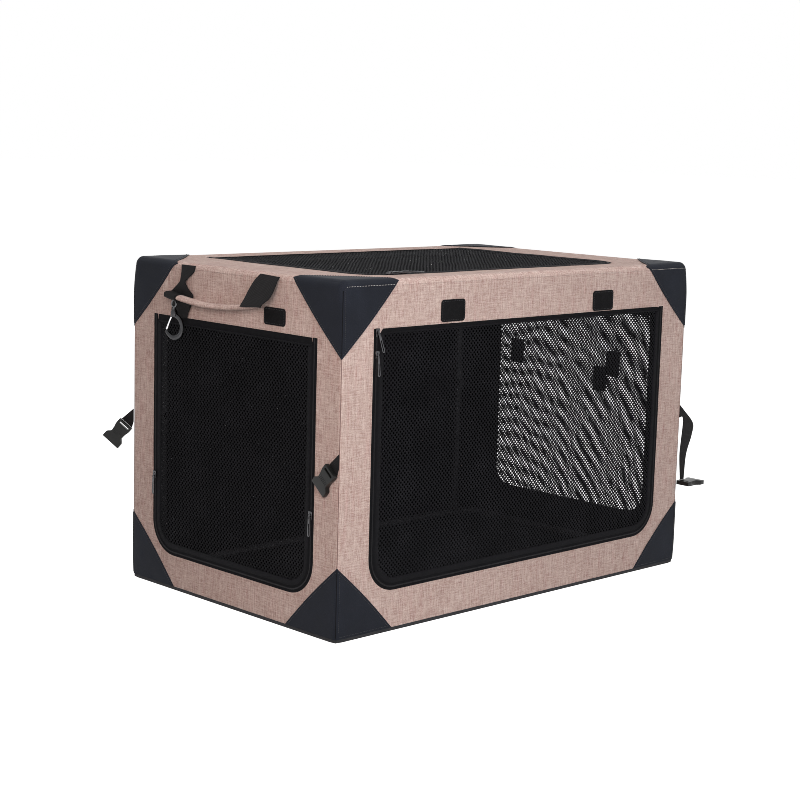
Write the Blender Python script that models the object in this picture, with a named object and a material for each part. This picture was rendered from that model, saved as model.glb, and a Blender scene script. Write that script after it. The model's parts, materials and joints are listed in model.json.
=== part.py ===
"""Folding fabric dog crate: a steel tube frame with knee posts under a sewn cloth cover.

Metres, +Z up. The origin is the middle of the floor's underside. The long front
faces -Y, and the end with the carry handle faces -X.
"""

from math import cos, floor, pi, radians, sin

import bmesh
import bpy
from mathutils import Matrix, Vector

# Overall size and clearances
CRATE_LENGTH = 0.910
CRATE_WIDTH = 0.570
CRATE_HEIGHT = 0.600
SEAT_GAP = 0.0003
PIN_GAP = 0.0003
CHEEK_GAP = 0.0005

# Cloth cover
FLOOR_THICKNESS = 0.004
WALL_THICKNESS = 0.003
PATCH_THICKNESS = 0.0012
PATCH_LEG = 0.128
PATCH_BOW = 0.005
PATCH_STEPS = 6

# Doors, as the cloth left round them
DOOR_THICKNESS = 0.0024
DOOR_SEAM_GAP = 0.0003
DOOR_CORNER_RADIUS = 0.050
TOP_CORNER_RADIUS = 0.010
CORNER_STEPS = 5
FRONT_SIDE_MARGIN = 0.082
FRONT_TOP_MARGIN = 0.088
FRONT_SILL = 0.082
END_SIDE_MARGIN = 0.072
END_TOP_MARGIN = 0.110
END_SILL = 0.074
ROOF_END_MARGIN = 0.127
ROOF_FRONT_MARGIN = 0.075
ROOF_REAR_MARGIN = 0.070

# Netting in the doors
NET_BORDER = 0.020
NET_PITCH = 0.056
NET_STRAND = 0.004

# Frame tubes
TUBE_RADIUS = 0.008
TUBE_SIDES_HALF = 5
RING_BEND_RADIUS = 0.035
RING_BEND_STEPS = 5
POST_INSET = 0.046
POST_PIVOT_RISE = 0.018

# Post hinges
PIN_RADIUS = 0.0025
EYE_RADIUS = 0.0065
EYE_WIDTH = 0.008
CHEEK_THICKNESS = 0.003
CHEEK_RADIUS = 0.007
POST_END_RELIEF = 0.011
KNEE_OFFSET = 0.009
KNEE_RADIUS = 0.005
KNEE_RELIEF = 0.008
KNEE_ROOT_DEPTH = 0.012

# Carry handle and its webbing
WEBBING_THICKNESS = 0.0015
HANDLE_DROP = 0.052
HANDLE_SAG = 0.012
HANDLE_REAR_Y = 0.160
HANDLE_FRONT_Y = -0.084
HANDLE_DEPTH = 0.024
HANDLE_HEIGHT = 0.010
HANDLE_STEPS = 12
HANDLE_EDGE_DROP = 0.003
REAR_WEBBING_WIDTH = 0.040
REAR_WEBBING_Y = 0.119
FRONT_WEBBING_WIDTH = 0.044
FRONT_WEBBING_Y = -0.108
FRONT_WEBBING_SLANT = 0.056
REAR_WEBBING_SLANT = 0.014

# Snap hook
HOOK_Y = 0.145
HOOK_STAND_OFF = 0.0135
HOOK_BAR_RADIUS = 0.0025
HOOK_COLLAR_RADIUS = 0.006
HOOK_COLLAR_HEIGHT = 0.010
HOOK_HALF_WIDTH = 0.015
HOOK_LOOP_DROP = 0.040
HOOK_NOSE_OUT = 0.0138
HOOK_NOSE_DROP = 0.0275
HOOK_SIDES_HALF = 4
# How far the hanging hook has turned on its swivel from lying flat along the end wall
HOOK_TURN = radians(30)
EYE_RING_RADIUS = 0.0062
EYE_RING_BAR = 0.0016
EYE_RING_STEPS = 12
EYE_STEM_RADIUS = 0.0024
EYE_STEM_LENGTH = 0.004
SMALL_SIDES_HALF = 3
GATE_RADIUS = 0.0016
GATE_TOP_OUT = 0.0050
GATE_TOP_DROP = 0.0009
GATE_NOSE_GAP = 0.0019
# The bent bar's course, in half widths of the hook and drops of its loop
HOOK_COURSE = ((0.0, 0.0), (0.55, 0.10), (0.92, 0.32), (1.0, 0.58), (0.82, 0.84))
HOOK_COURSE += ((0.38, 0.98), (-0.10, 0.99), (-0.55, 0.90), (-0.85, 0.76))

# Side straps and buckles
STRAP_WIDTH = 0.025
STRAP_TOP_HEIGHT = 0.318
LONG_STRAP_REACH = 0.036
LONG_STRAP_DROP = 0.150
LONG_STRAP_END_WIDTH = 0.012
LONG_STRAP_END_OUT = 0.0065
# Where the folded webbing's outer and inner edges pass: out in reaches, and down in metres
LONG_STRAP_FOLDS = (
    ((0.40, 0.012), (0.28, 0.025)),
    ((1.25, 0.040), (0.34, 0.040)),
    ((1.20, 0.064), (0.26, 0.068)),
    ((0.78, 0.102), (0.18, 0.102)),
)
SHORT_STRAP_LENGTH = 0.020
SHORT_STRAP_ANGLE = radians(-50)
REAR_STRAP_SPLAY = radians(38)
BUCKLE_LENGTH = 0.046
BUCKLE_WAIST = 0.025
BUCKLE_TAIL = 0.029
BUCKLE_FLARE = 0.037
BUCKLE_THICKNESS = 0.010
BUCKLE_BEVEL = 0.0015
# How far along its length the buckle's tail, waist and flare begin and end
BUCKLE_STATIONS = (0.22, 0.42, 0.62, 0.78)

# Zip sliders and pulls
ZIP_BAND = 0.012
SLIDER_LENGTH = 0.014
SLIDER_WIDTH = 0.009
SLIDER_THICKNESS = 0.0032
SLIDER_BEVEL = 0.0008
PULL_LENGTH = 0.036
PULL_WIDTH = 0.0062
PULL_NECK_WIDTH = 0.0037
PULL_END_STEPS = 6
PULL_THICKNESS = 0.0012
END_SLIDER_HEIGHT = 0.205
FRONT_SLIDER_DROPS = (0.012, 0.049)
FRONT_PULL_TILTS = (radians(20), radians(4))
ROOF_SLIDER_INSETS = (0.042, 0.074)
ROOF_PULL_TILT = radians(-40)

# Places worked out from the sizes above
SKIN = PATCH_THICKNESS + SEAT_GAP
SKIN_X = CRATE_LENGTH / 2 - SKIN
SKIN_Y = CRATE_WIDTH / 2 - SKIN
ROOF_TOP = CRATE_HEIGHT - SKIN
ROOF_UNDER = ROOF_TOP - WALL_THICKNESS
WALL_FOOT = FLOOR_THICKNESS + SEAT_GAP
WALL_HEAD = ROOF_UNDER - SEAT_GAP
RING_X = SKIN_X - WALL_THICKNESS - SEAT_GAP - TUBE_RADIUS
RING_Y = SKIN_Y - WALL_THICKNESS - SEAT_GAP - TUBE_RADIUS
BASE_RING_Z = FLOOR_THICKNESS + SEAT_GAP + TUBE_RADIUS
TOP_RING_Z = ROOF_UNDER - SEAT_GAP - TUBE_RADIUS
POST_X = RING_X - POST_INSET
POST_FOOT_Z = BASE_RING_Z + POST_PIVOT_RISE
POST_HEAD_Z = TOP_RING_Z - POST_PIVOT_RISE
KNEE_Z = (POST_FOOT_Z + POST_HEAD_Z) / 2
CHEEK_INNER = EYE_WIDTH / 2 + CHEEK_GAP
CHEEK_OUTER = CHEEK_INNER + CHEEK_THICKNESS
FRONT_DOOR_HALF = SKIN_X - FRONT_SIDE_MARGIN
FRONT_DOOR_HEAD = CRATE_HEIGHT - FRONT_TOP_MARGIN
END_DOOR_HALF = SKIN_Y - END_SIDE_MARGIN
END_DOOR_HEAD = CRATE_HEIGHT - END_TOP_MARGIN
ROOF_DOOR_HALF = SKIN_X - ROOF_END_MARGIN
ROOF_DOOR_FRONT = -SKIN_Y + ROOF_FRONT_MARGIN
ROOF_DOOR_REAR = SKIN_Y - ROOF_REAR_MARGIN

# Colour, roughness and metallic of each material
FINISHES = {
    "pink_linen": ((0.50, 0.33, 0.28), 0.95, 0.0),
    "floor_cloth": ((0.03, 0.03, 0.033), 0.9, 0.0),
    "corner_leatherette": ((0.013, 0.014, 0.017), 0.6, 0.0),
    "black_mesh": ((0.008, 0.008, 0.009), 0.85, 0.0),
    "black_webbing": ((0.006, 0.006, 0.007), 0.8, 0.0),
    "frame_enamel": ((0.05, 0.05, 0.055), 0.4, 0.6),
    "dark_zinc": ((0.06, 0.06, 0.065), 0.35, 1.0),
    "bright_steel": ((0.75, 0.75, 0.76), 0.2, 1.0),
    "gloss_plastic": ((0.006, 0.006, 0.007), 0.25, 0.0),
}


def clear_scene():
    for obj in list(bpy.data.objects):
        bpy.data.objects.remove(obj, do_unlink=True)


def material(name):
    found = bpy.data.materials.get(name)
    if found:
        return found
    colour, roughness, metallic = FINISHES[name]
    made = bpy.data.materials.new(name)
    made.use_nodes = True
    shader = made.node_tree.nodes["Principled BSDF"]
    shader.inputs["Base Color"].default_value = (*colour, 1.0)
    shader.inputs["Roughness"].default_value = roughness
    shader.inputs["Metallic"].default_value = metallic
    return made


def add_object(name, mesh, finish, matrix=None):
    obj = bpy.data.objects.new(name, mesh)
    bpy.context.scene.collection.objects.link(obj)
    obj.data.materials.append(material(finish))
    if matrix:
        obj.matrix_world = matrix
    bpy.context.view_layer.update()
    return obj


def add_pivot(name, location, parent=None):
    """An empty on a joint's axis, which carries the pieces that the joint moves."""
    pivot = bpy.data.objects.new(name, None)
    bpy.context.scene.collection.objects.link(pivot)
    pivot.empty_display_size = 0.03
    pivot.location = location
    bpy.context.view_layer.update()
    if parent:
        attach(pivot, parent)
    return pivot


def attach(obj, parent):
    obj.parent = parent
    obj.matrix_parent_inverse = parent.matrix_world.inverted()
    bpy.context.view_layer.update()


def finish_mesh(bm, name):
    bmesh.ops.recalc_face_normals(bm, faces=bm.faces)
    mesh = bpy.data.meshes.new(name)
    bm.to_mesh(mesh)
    bm.free()
    return mesh


def add_bevel(obj, width, segments=2):
    bevel = obj.modifiers.new("Bevel", "BEVEL")
    bevel.width = width
    bevel.segments = segments
    bevel.limit_method = "ANGLE"
    bevel.angle_limit = radians(40)


def add_union(obj, operands):
    """Joins hidden helper solids into obj with exact booleans."""
    group = bpy.data.collections.new(f"{obj.name}_helpers")
    bpy.context.scene.collection.children.link(group)
    for operand in operands:
        hide_helper(operand)
        bpy.context.scene.collection.objects.unlink(operand)
        group.objects.link(operand)
    union = obj.modifiers.new("Union", "BOOLEAN")
    union.operation = "UNION"
    union.operand_type = "COLLECTION"
    union.collection = group
    union.solver = "EXACT"


def add_cut(obj, cutter):
    hide_helper(cutter)
    cut = obj.modifiers.new("Cut", "BOOLEAN")
    cut.operation = "DIFFERENCE"
    cut.object = cutter
    cut.solver = "EXACT"


def hide_helper(obj):
    obj.hide_render = True
    obj.display_type = "WIRE"


def plate_mesh(name, loops, thickness):
    """A flat plate from z = 0 to z = thickness: the first loop is its rim, the rest are holes."""
    bm = bmesh.new()
    edges = []
    for loop in loops:
        ring = [bm.verts.new((x, y, 0.0)) for x, y in loop]
        edges += [bm.edges.new(pair) for pair in zip(ring, ring[1:] + ring[:1])]
    bmesh.ops.triangle_fill(bm, use_beauty=True, edges=edges, normal=(0.0, 0.0, 1.0))
    bmesh.ops.solidify(bm, geom=bm.faces[:], thickness=thickness)
    lowest = min(vert.co.z for vert in bm.verts)
    bmesh.ops.translate(bm, verts=bm.verts[:], vec=(0.0, 0.0, -lowest))
    return finish_mesh(bm, name)


def ribbon_mesh(name, sections, thickness):
    """A strip of webbing through pairs of edge points, thickened towards its normals."""
    normals = []
    for index in range(len(sections)):
        before = sections[max(index - 1, 0)]
        after = sections[min(index + 1, len(sections) - 1)]
        run = (Vector(after[0]) + Vector(after[1])) - (Vector(before[0]) + Vector(before[1]))
        across = Vector(sections[index][1]) - Vector(sections[index][0])
        normals.append(run.cross(across).normalized())
    bm = bmesh.new()
    rings = []
    for (left, right), normal in zip(sections, normals):
        step = normal * thickness
        corners = (Vector(left), Vector(right), Vector(right) + step, Vector(left) + step)
        rings.append([bm.verts.new(corner) for corner in corners])
    for ring, after in zip(rings, rings[1:]):
        for side in range(4):
            turn = (side + 1) % 4
            bm.faces.new((ring[side], ring[turn], after[turn], after[side]))
    bm.faces.new(rings[0])
    bm.faces.new(rings[-1])
    return finish_mesh(bm, name)


def tube_mesh(name, points, radius, closed=False, sides_half=TUBE_SIDES_HALF):
    """A round tube along points, from a bevelled curve with filled ends."""
    curve = bpy.data.curves.new(name, "CURVE")
    curve.dimensions = "3D"
    curve.bevel_depth = radius
    curve.bevel_resolution = sides_half - 2
    curve.use_fill_caps = not closed
    spline = curve.splines.new("POLY")
    spline.points.add(len(points) - 1)
    for slot, point in zip(spline.points, points):
        slot.co = (*point, 1.0)
    spline.use_cyclic_u = closed
    guide = bpy.data.objects.new(name, curve)
    bpy.context.scene.collection.objects.link(guide)
    bpy.context.view_layer.update()
    mesh = bpy.data.meshes.new_from_object(guide.evaluated_get(bpy.context.evaluated_depsgraph_get()))
    bpy.data.objects.remove(guide, do_unlink=True)
    bm = bmesh.new()
    bm.from_mesh(mesh)
    bmesh.ops.remove_doubles(bm, verts=bm.verts, dist=0.00001)
    return finish_mesh(bm, name)


def arc(centre, radius, start, end, steps):
    turns = (start + (end - start) * step / steps for step in range(steps + 1))
    return [(centre[0] + radius * cos(turn), centre[1] + radius * sin(turn)) for turn in turns]


def rounded_outline(low, high, low_radius, high_radius, grow=0.0):
    """A rectangle with round corners, its lower two of one radius and its upper two of another."""
    (x0, y0), (x1, y1) = low, high
    r0, r1 = low_radius, high_radius
    points = arc((x0 + r0, y0 + r0), r0 + grow, pi, 1.5 * pi, CORNER_STEPS)
    points += arc((x1 - r0, y0 + r0), r0 + grow, 1.5 * pi, 2 * pi, CORNER_STEPS)
    points += arc((x1 - r1, y1 - r1), r1 + grow, 0, 0.5 * pi, CORNER_STEPS)
    points += arc((x0 + r1, y1 - r1), r1 + grow, 0.5 * pi, pi, CORNER_STEPS)
    return points


def rectangle(x0, y0, x1, y1):
    return [(x0, y0), (x1, y0), (x1, y1), (x0, y1)]


def inside_rounded(point, low, high, radius):
    """Whether a point is clear of the lower round corners of a door's inner border."""
    x, y = point
    if y > low[1] + radius or low[0] + radius < x < high[0] - radius:
        return True
    centre_x = low[0] + radius if x <= low[0] + radius else high[0] - radius
    return (x - centre_x) ** 2 + (y - low[1] - radius) ** 2 < radius**2


def net_gaps(low, high, radius):
    """The square gaps of a net between two corners, fewer where the lower corners are round."""
    counts = [floor((high[axis] - low[axis]) / NET_PITCH) for axis in range(2)]
    pitch = [(high[axis] - low[axis] + NET_STRAND) / counts[axis] for axis in range(2)]
    gaps = []
    for column in range(counts[0]):
        for row in range(counts[1]):
            x0 = low[0] + column * pitch[0]
            y0 = low[1] + row * pitch[1]
            gap = rectangle(x0, y0, x0 + pitch[0] - NET_STRAND, y0 + pitch[1] - NET_STRAND)
            if all(inside_rounded(corner, low, high, radius) for corner in gap):
                gaps.append(gap)
    return gaps


def face_matrix(across, up, outward_offset):
    """Places a plate's XY plane on an upright or level plane at a distance from the origin."""
    outward = across.cross(up)
    place = Matrix((across, up, outward)).transposed().to_4x4()
    place.translation = outward * outward_offset
    return place


X_AXIS = Vector((1.0, 0.0, 0.0))
Y_AXIS = Vector((0.0, 1.0, 0.0))
Z_AXIS = Vector((0.0, 0.0, 1.0))
FACES = {
    "front": (X_AXIS, Z_AXIS, SKIN_Y),
    "rear": (-X_AXIS, Z_AXIS, SKIN_Y),
    "left": (-Y_AXIS, Z_AXIS, SKIN_X),
    "right": (Y_AXIS, Z_AXIS, SKIN_X),
    "roof": (X_AXIS, Y_AXIS, ROOF_TOP),
}


def on_face(side, depth):
    """A frame whose z = 0 plane lies at a depth under the outer surface of one face."""
    across, up, reach = FACES[side]
    return face_matrix(across, up, reach - depth)


def door_shape(side):
    """A door's two corners and lower corner radius on its face, in that face's own axes."""
    if side == "front":
        return (-FRONT_DOOR_HALF, FRONT_SILL), (FRONT_DOOR_HALF, FRONT_DOOR_HEAD)
    if side == "roof":
        return (-ROOF_DOOR_HALF, ROOF_DOOR_FRONT), (ROOF_DOOR_HALF, ROOF_DOOR_REAR)
    return (-END_DOOR_HALF, END_SILL), (END_DOOR_HALF, END_DOOR_HEAD)


def door_outline(side, grow=0.0):
    low, high = door_shape(side)
    return rounded_outline(low, high, DOOR_CORNER_RADIUS, TOP_CORNER_RADIUS, grow)


def add_wall(side, half, doorway):
    loops = [rectangle(-half, WALL_FOOT, half, WALL_HEAD)]
    if doorway:
        loops.append(door_outline(side, DOOR_SEAM_GAP))
    mesh = plate_mesh(f"{side}_wall", loops, WALL_THICKNESS)
    return add_object(f"{side}_wall", mesh, "pink_linen", on_face(side, WALL_THICKNESS))


def add_cover():
    """The floor, the four walls and the roof, each a flat panel of the sewn cover."""
    end_half = SKIN_Y - WALL_THICKNESS - SEAT_GAP
    floor_loop = [rectangle(-SKIN_X, -SKIN_Y, SKIN_X, SKIN_Y)]
    add_object("floor_panel", plate_mesh("floor_panel", floor_loop, FLOOR_THICKNESS), "floor_cloth")
    add_wall("front", SKIN_X, True)
    add_wall("rear", SKIN_X, False)
    add_wall("left", end_half, True)
    add_wall("right", end_half, True)


def add_roof(top):
    loops = [rectangle(-SKIN_X, -SKIN_Y, SKIN_X, SKIN_Y), door_outline("roof", DOOR_SEAM_GAP)]
    mesh = plate_mesh("top_panel", loops, WALL_THICKNESS)
    attach(add_object("top_panel", mesh, "pink_linen", on_face("roof", WALL_THICKNESS)), top)


def add_door(side, name, hinge, parent):
    """A netted door hung on a pivot at its hinge edge."""
    low, high = door_shape(side)
    net_low = (low[0] + NET_BORDER, low[1] + NET_BORDER)
    net_high = (high[0] - NET_BORDER, high[1] - NET_BORDER)
    radius = DOOR_CORNER_RADIUS - NET_BORDER
    loops = [door_outline(side)] + net_gaps(net_low, net_high, radius)
    mesh = plate_mesh(name, loops, DOOR_THICKNESS)
    pivot = add_pivot(f"{name}_hinge", hinge, parent)
    attach(add_object(name, mesh, "black_mesh", on_face(side, DOOR_THICKNESS)), pivot)


def add_doors(top):
    inner_x = SKIN_X - DOOR_THICKNESS
    add_door("front", "front_door", (0.0, -SKIN_Y, FRONT_DOOR_HEAD), None)
    add_door("left", "left_door", (-inner_x, 0.0, END_DOOR_HEAD), None)
    add_door("right", "right_door", (inner_x, 0.0, END_DOOR_HEAD), None)
    add_door("roof", "top_door", (0.0, ROOF_DOOR_REAR, ROOF_TOP), top)


def bowed_edge(start, end, inward):
    """Points strictly between two corners of a patch, along an edge that bows inwards."""
    points = []
    for step in range(1, PATCH_STEPS):
        share = step / PATCH_STEPS
        bow = inward * (PATCH_BOW * sin(pi * share))
        points.append(start.lerp(end, share) + bow)
    return points


def patch_mesh(name, planes, signs):
    """A patch folded round a corner of the crate, on two or three of the faces that meet there.

    It is made round the origin with its legs along +X, +Y and +Z, then mirrored by signs.
    """
    bm = bmesh.new()
    tips = {axis: Vector([PATCH_LEG if k == axis else 0.0 for k in range(3)]) for axis in range(3)}
    places = {"corner": (Vector(), set(planes))}
    for axis in tips:
        places[axis] = (tips[axis], set(planes) - {axis})
    outer = {key: bm.verts.new(point) for key, (point, on) in places.items()}
    inner = {key: bm.verts.new(point + sunk(on)) for key, (point, on) in places.items()}
    for plane in planes:
        first, second = [axis for axis in range(3) if axis != plane]
        toward = -(tips[first] + tips[second]).normalized()
        points = bowed_edge(tips[first], tips[second], toward)
        rim = [bm.verts.new(point) for point in points]
        under = [bm.verts.new(point + sunk({plane})) for point in points]
        face = [outer["corner"], outer[first], *rim, outer[second]]
        back = [inner["corner"], inner[first], *under, inner[second]]
        bm.faces.new(face)
        bm.faces.new(back)
        for k in range(1, len(face) - 1):
            bm.faces.new((face[k], face[k + 1], back[k + 1], back[k]))
    close_open_rim(bm, outer, inner, planes)
    bmesh.ops.transform(bm, matrix=Matrix.Diagonal((*signs, 1.0)), verts=bm.verts)
    return finish_mesh(bm, name)


def sunk(planes):
    return Vector([PATCH_THICKNESS if axis in planes else 0.0 for axis in range(3)])


def close_open_rim(bm, outer, inner, planes):
    """Closes the cut edges along a face of the corner that has no cloth of the patch on it."""
    for bare in {0, 1, 2} - set(planes):
        for tip in {0, 1, 2} - {bare}:
            bm.faces.new((outer["corner"], outer[tip], inner[tip], inner["corner"]))


def add_patches(top):
    """Eight patches: those below fold round two faces, those above round three."""
    corners = {"front_left": (-1, -1), "front_right": (1, -1), "rear_left": (-1, 1), "rear_right": (1, 1)}
    for place, (sx, sy) in corners.items():
        side = (sx * CRATE_LENGTH / 2, sy * CRATE_WIDTH / 2)
        low_name = f"bottom_{place}_patch"
        mesh = patch_mesh(low_name, (0, 1), (-sx, -sy, 1))
        add_object(low_name, mesh, "corner_leatherette", Matrix.Translation((*side, 0.0)))
        high_name = f"top_{place}_patch"
        mesh = patch_mesh(high_name, (0, 1, 2), (-sx, -sy, -1))
        high = Matrix.Translation((*side, CRATE_HEIGHT))
        attach(add_object(high_name, mesh, "corner_leatherette", high), top)


def ring_points(z):
    """The centre line of a rectangular ring of tube with bent corners."""
    r = RING_BEND_RADIUS
    x, y = RING_X - r, RING_Y - r
    outline = []
    for k, (cx, cy) in enumerate(((x, y), (-x, y), (-x, -y), (x, -y))):
        outline += arc((cx, cy), r, k * pi / 2, (k + 1) * pi / 2, RING_BEND_STEPS)
    return [(px, py, z) for px, py in outline]


def slab_mesh(name, outline, y0, y1):
    """An outline in X and Z, given thickness from y0 to y1."""
    mesh = plate_mesh(name, [outline], y1 - y0)
    mesh.transform(face_matrix(X_AXIS, Z_AXIS, 0.0))
    mesh.transform(Matrix.Translation((0.0, y1, 0.0)))
    return mesh


def capsule(start, start_radius, end, end_radius, steps=6):
    """The outline round two circles, end circle first reached along the line between them."""
    line = Vector(end) - Vector(start)
    heading = line.to_2d().angle_signed(Vector((1.0, 0.0)))
    points = arc(end, end_radius, heading - pi / 2, heading + pi / 2, steps)
    points += arc(start, start_radius, heading + pi / 2, heading + 1.5 * pi, steps)
    return points


def helper(name, mesh):
    return add_object(name, mesh, "frame_enamel")


def cheek_helpers(name, outline, pin_at, y):
    """Two cheeks with a pin through them, as helper solids for a union."""
    made = []
    for label, y0 in (("near", y - CHEEK_OUTER), ("far", y + CHEEK_INNER)):
        mesh = slab_mesh(name, outline, y0, y0 + CHEEK_THICKNESS)
        made.append(helper(f"{name}_{label}_cheek", mesh))
    x, z = pin_at
    reach = CHEEK_INNER + CHEEK_THICKNESS / 2
    ends = [(x, y - reach, z), (x, y + reach, z)]
    made.append(helper(f"{name}_pin", tube_mesh(name, ends, PIN_RADIUS)))
    return made


def add_ring(name, ring_z, pivot_z):
    """One ring of the frame with the four brackets that carry the posts."""
    ring = add_object(name, tube_mesh(name, ring_points(ring_z), TUBE_RADIUS, True), "frame_enamel")
    helpers = []
    for sx in (-1, 1):
        for sy in (-1, 1):
            x, y = sx * POST_X, sy * RING_Y
            outline = capsule((x, ring_z), CHEEK_RADIUS, (x, pivot_z), CHEEK_RADIUS)
            helpers += cheek_helpers(f"{name}_bracket_{sx}_{sy}", outline, (x, pivot_z), y)
    add_union(ring, helpers)
    return ring


def eye_bar(name, outline, y):
    return helper(name, slab_mesh(name, outline, y - EYE_WIDTH / 2, y + EYE_WIDTH / 2))


def bore(name, x, y, z):
    reach = CHEEK_OUTER + TUBE_RADIUS
    mesh = tube_mesh(name, [(x, y - reach, z), (x, y + reach, z)], PIN_RADIUS + PIN_GAP)
    return helper(name, mesh)


def add_link(name, x, y, eye_z, knee_x, has_pin):
    """Half a post: a tube with an eye at its ring end and half of the knee hinge at the other.

    The knee's pin is in the lower half, and the upper half has the eye that turns on it.
    """
    toward = 1 if KNEE_Z > eye_z else -1
    tube_ends = [(x, y, eye_z + toward * POST_END_RELIEF), (x, y, KNEE_Z - toward * KNEE_RELIEF)]
    link = add_object(name, tube_mesh(name, tube_ends, TUBE_RADIUS), "frame_enamel")
    neck_end = (x, eye_z + toward * (POST_END_RELIEF + EYE_RADIUS))
    neck = eye_bar(f"{name}_neck", capsule((x, eye_z), EYE_RADIUS, neck_end, EYE_RADIUS), y)
    root = (x, KNEE_Z - toward * KNEE_ROOT_DEPTH)
    knuckle = capsule(root, KNEE_RADIUS, (knee_x, KNEE_Z), KNEE_RADIUS)
    parts = [neck]
    if has_pin:
        parts += cheek_helpers(f"{name}_knee", knuckle, (knee_x, KNEE_Z), y)
    else:
        parts.append(eye_bar(f"{name}_knee", knuckle, y))
    add_union(link, parts)
    add_cut(link, bore(f"{name}_bore", x, y, eye_z))
    if not has_pin:
        add_cut(link, bore(f"{name}_knee_bore", knee_x, y, KNEE_Z))
    return link


def add_frame():
    """The base ring, the four knee posts and the top ring, which drops as the knees fold in."""
    add_ring("base_frame", BASE_RING_Z, POST_FOOT_Z)
    top = None
    for side, sx in (("left", -1), ("right", 1)):
        x, knee_x = sx * POST_X, sx * (POST_X + KNEE_OFFSET)
        foot = add_pivot(f"{side}_foot_pivots", (x, 0.0, POST_FOOT_Z))
        knee = add_pivot(f"{side}_knee_pivots", (knee_x, 0.0, KNEE_Z), foot)
        for place, sy in (("front", -1), ("rear", 1)):
            y = sy * RING_Y
            attach(add_link(f"{place}_{side}_lower_post", x, y, POST_FOOT_Z, knee_x, True), foot)
            attach(add_link(f"{place}_{side}_upper_post", x, y, POST_HEAD_Z, knee_x, False), knee)
        if side == "left":
            top = add_pivot("top_pivots", (x, 0.0, POST_HEAD_Z), knee)
    attach(add_ring("top_frame", TOP_RING_Z, POST_HEAD_Z), top)
    return top


def handle_top(y):
    """The height of the handle strap's upper side, which sags between its two ends."""
    share = (HANDLE_REAR_Y - y) / (HANDLE_REAR_Y - HANDLE_FRONT_Y)
    return ROOF_TOP - HANDLE_DROP - SEAT_GAP - HANDLE_SAG * sin(pi * share)


def add_handle(top):
    """The carry handle on the left end: two webbing loops and a padded strap between them."""
    pivot = add_pivot("handle_pivot", (-SKIN_X, 0.0, ROOF_TOP), top)
    face = -SKIN_X - SEAT_GAP
    head = ROOF_TOP - HANDLE_EDGE_DROP
    foot = ROOF_TOP - HANDLE_DROP
    span = HANDLE_REAR_Y - HANDLE_FRONT_Y
    sections = []
    for step in range(HANDLE_STEPS + 1):
        share = step / HANDLE_STEPS
        y = HANDLE_REAR_Y - span * share
        z = handle_top(y)
        sections.append(((face, y, z), (face - HANDLE_DEPTH, y, z)))
    strap = add_object("handle_strap", ribbon_mesh("handle_strap", sections, HANDLE_HEIGHT), "pink_linen")
    attach(strap, pivot)
    webbings = (
        ("rear", REAR_WEBBING_Y, REAR_WEBBING_WIDTH, REAR_WEBBING_SLANT),
        ("front", FRONT_WEBBING_Y, FRONT_WEBBING_WIDTH, FRONT_WEBBING_SLANT),
    )
    for place, y, width, slant in webbings:
        name = f"handle_{place}_webbing"
        high = ((face, y + width / 2, head), (face, y - width / 2, head))
        low = ((face, y + slant + width / 2, foot), (face, y + slant - width / 2, foot))
        mesh = ribbon_mesh(name, [high, low], WEBBING_THICKNESS)
        attach(add_object(name, mesh, "black_webbing"), pivot)
    return pivot


def hook_point(x, out, z):
    """A point in the plane of the turned hook, out from its stem towards the gate."""
    return (x - out * sin(HOOK_TURN), HOOK_Y + out * cos(HOOK_TURN), z)


def hook_bar_points(x, collar_foot):
    """The open loop of the snap hook, from its collar down, round and up to the nose."""
    half, drop = HOOK_HALF_WIDTH, HOOK_LOOP_DROP
    points = [hook_point(x, -u * half, collar_foot - v * drop) for u, v in HOOK_COURSE]
    points.append(hook_point(x, HOOK_NOSE_OUT, collar_foot - HOOK_NOSE_DROP))
    return points


def add_hook(handle):
    """The swivel snap hook: an eye on the webbing, a turning body and a sprung gate."""
    x = -SKIN_X - HOOK_STAND_OFF
    eye_z = handle_top(HOOK_Y) - HANDLE_HEIGHT - EYE_RING_BAR - EYE_RING_RADIUS - 2 * SEAT_GAP
    stem_foot = eye_z - EYE_RING_RADIUS - EYE_STEM_LENGTH
    circle = arc((HOOK_Y, eye_z), EYE_RING_RADIUS, 0, 2 * pi, EYE_RING_STEPS)[:-1]
    ring = tube_mesh("hook_eye", [(x, y, z) for y, z in circle], EYE_RING_BAR, True, SMALL_SIDES_HALF)
    eye = add_object("hook_eye", ring, "dark_zinc")
    stem_ends = [(x, HOOK_Y, eye_z - EYE_RING_RADIUS), (x, HOOK_Y, stem_foot)]
    stem = tube_mesh("hook_stem", stem_ends, EYE_STEM_RADIUS, False, HOOK_SIDES_HALF)
    add_union(eye, [helper("hook_stem", stem)])
    attach(eye, handle)
    swivel = add_pivot("hook_swivel_pivot", (x, HOOK_Y, stem_foot), handle)
    collar_top = stem_foot - SEAT_GAP
    collar_foot = collar_top - HOOK_COLLAR_HEIGHT
    points = hook_bar_points(x, collar_foot)
    bar = tube_mesh("hook_body", points, HOOK_BAR_RADIUS, False, HOOK_SIDES_HALF)
    body = add_object("hook_body", bar, "dark_zinc")
    collar_ends = [(x, HOOK_Y, collar_top), (x, HOOK_Y, collar_foot - HOOK_BAR_RADIUS)]
    add_union(body, [helper("hook_collar", tube_mesh("hook_collar", collar_ends, HOOK_COLLAR_RADIUS))])
    attach(body, swivel)
    gate_top = hook_point(x, GATE_TOP_OUT, collar_foot - HOOK_BAR_RADIUS - GATE_TOP_DROP)
    nose = hook_point(x, HOOK_NOSE_OUT, collar_foot - HOOK_NOSE_DROP + GATE_NOSE_GAP)
    gate_pivot = add_pivot("hook_gate_pivot", gate_top, swivel)
    gate = tube_mesh("hook_gate", [gate_top, nose], GATE_RADIUS, False, SMALL_SIDES_HALF)
    attach(add_object("hook_gate", gate, "bright_steel"), gate_pivot)


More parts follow.
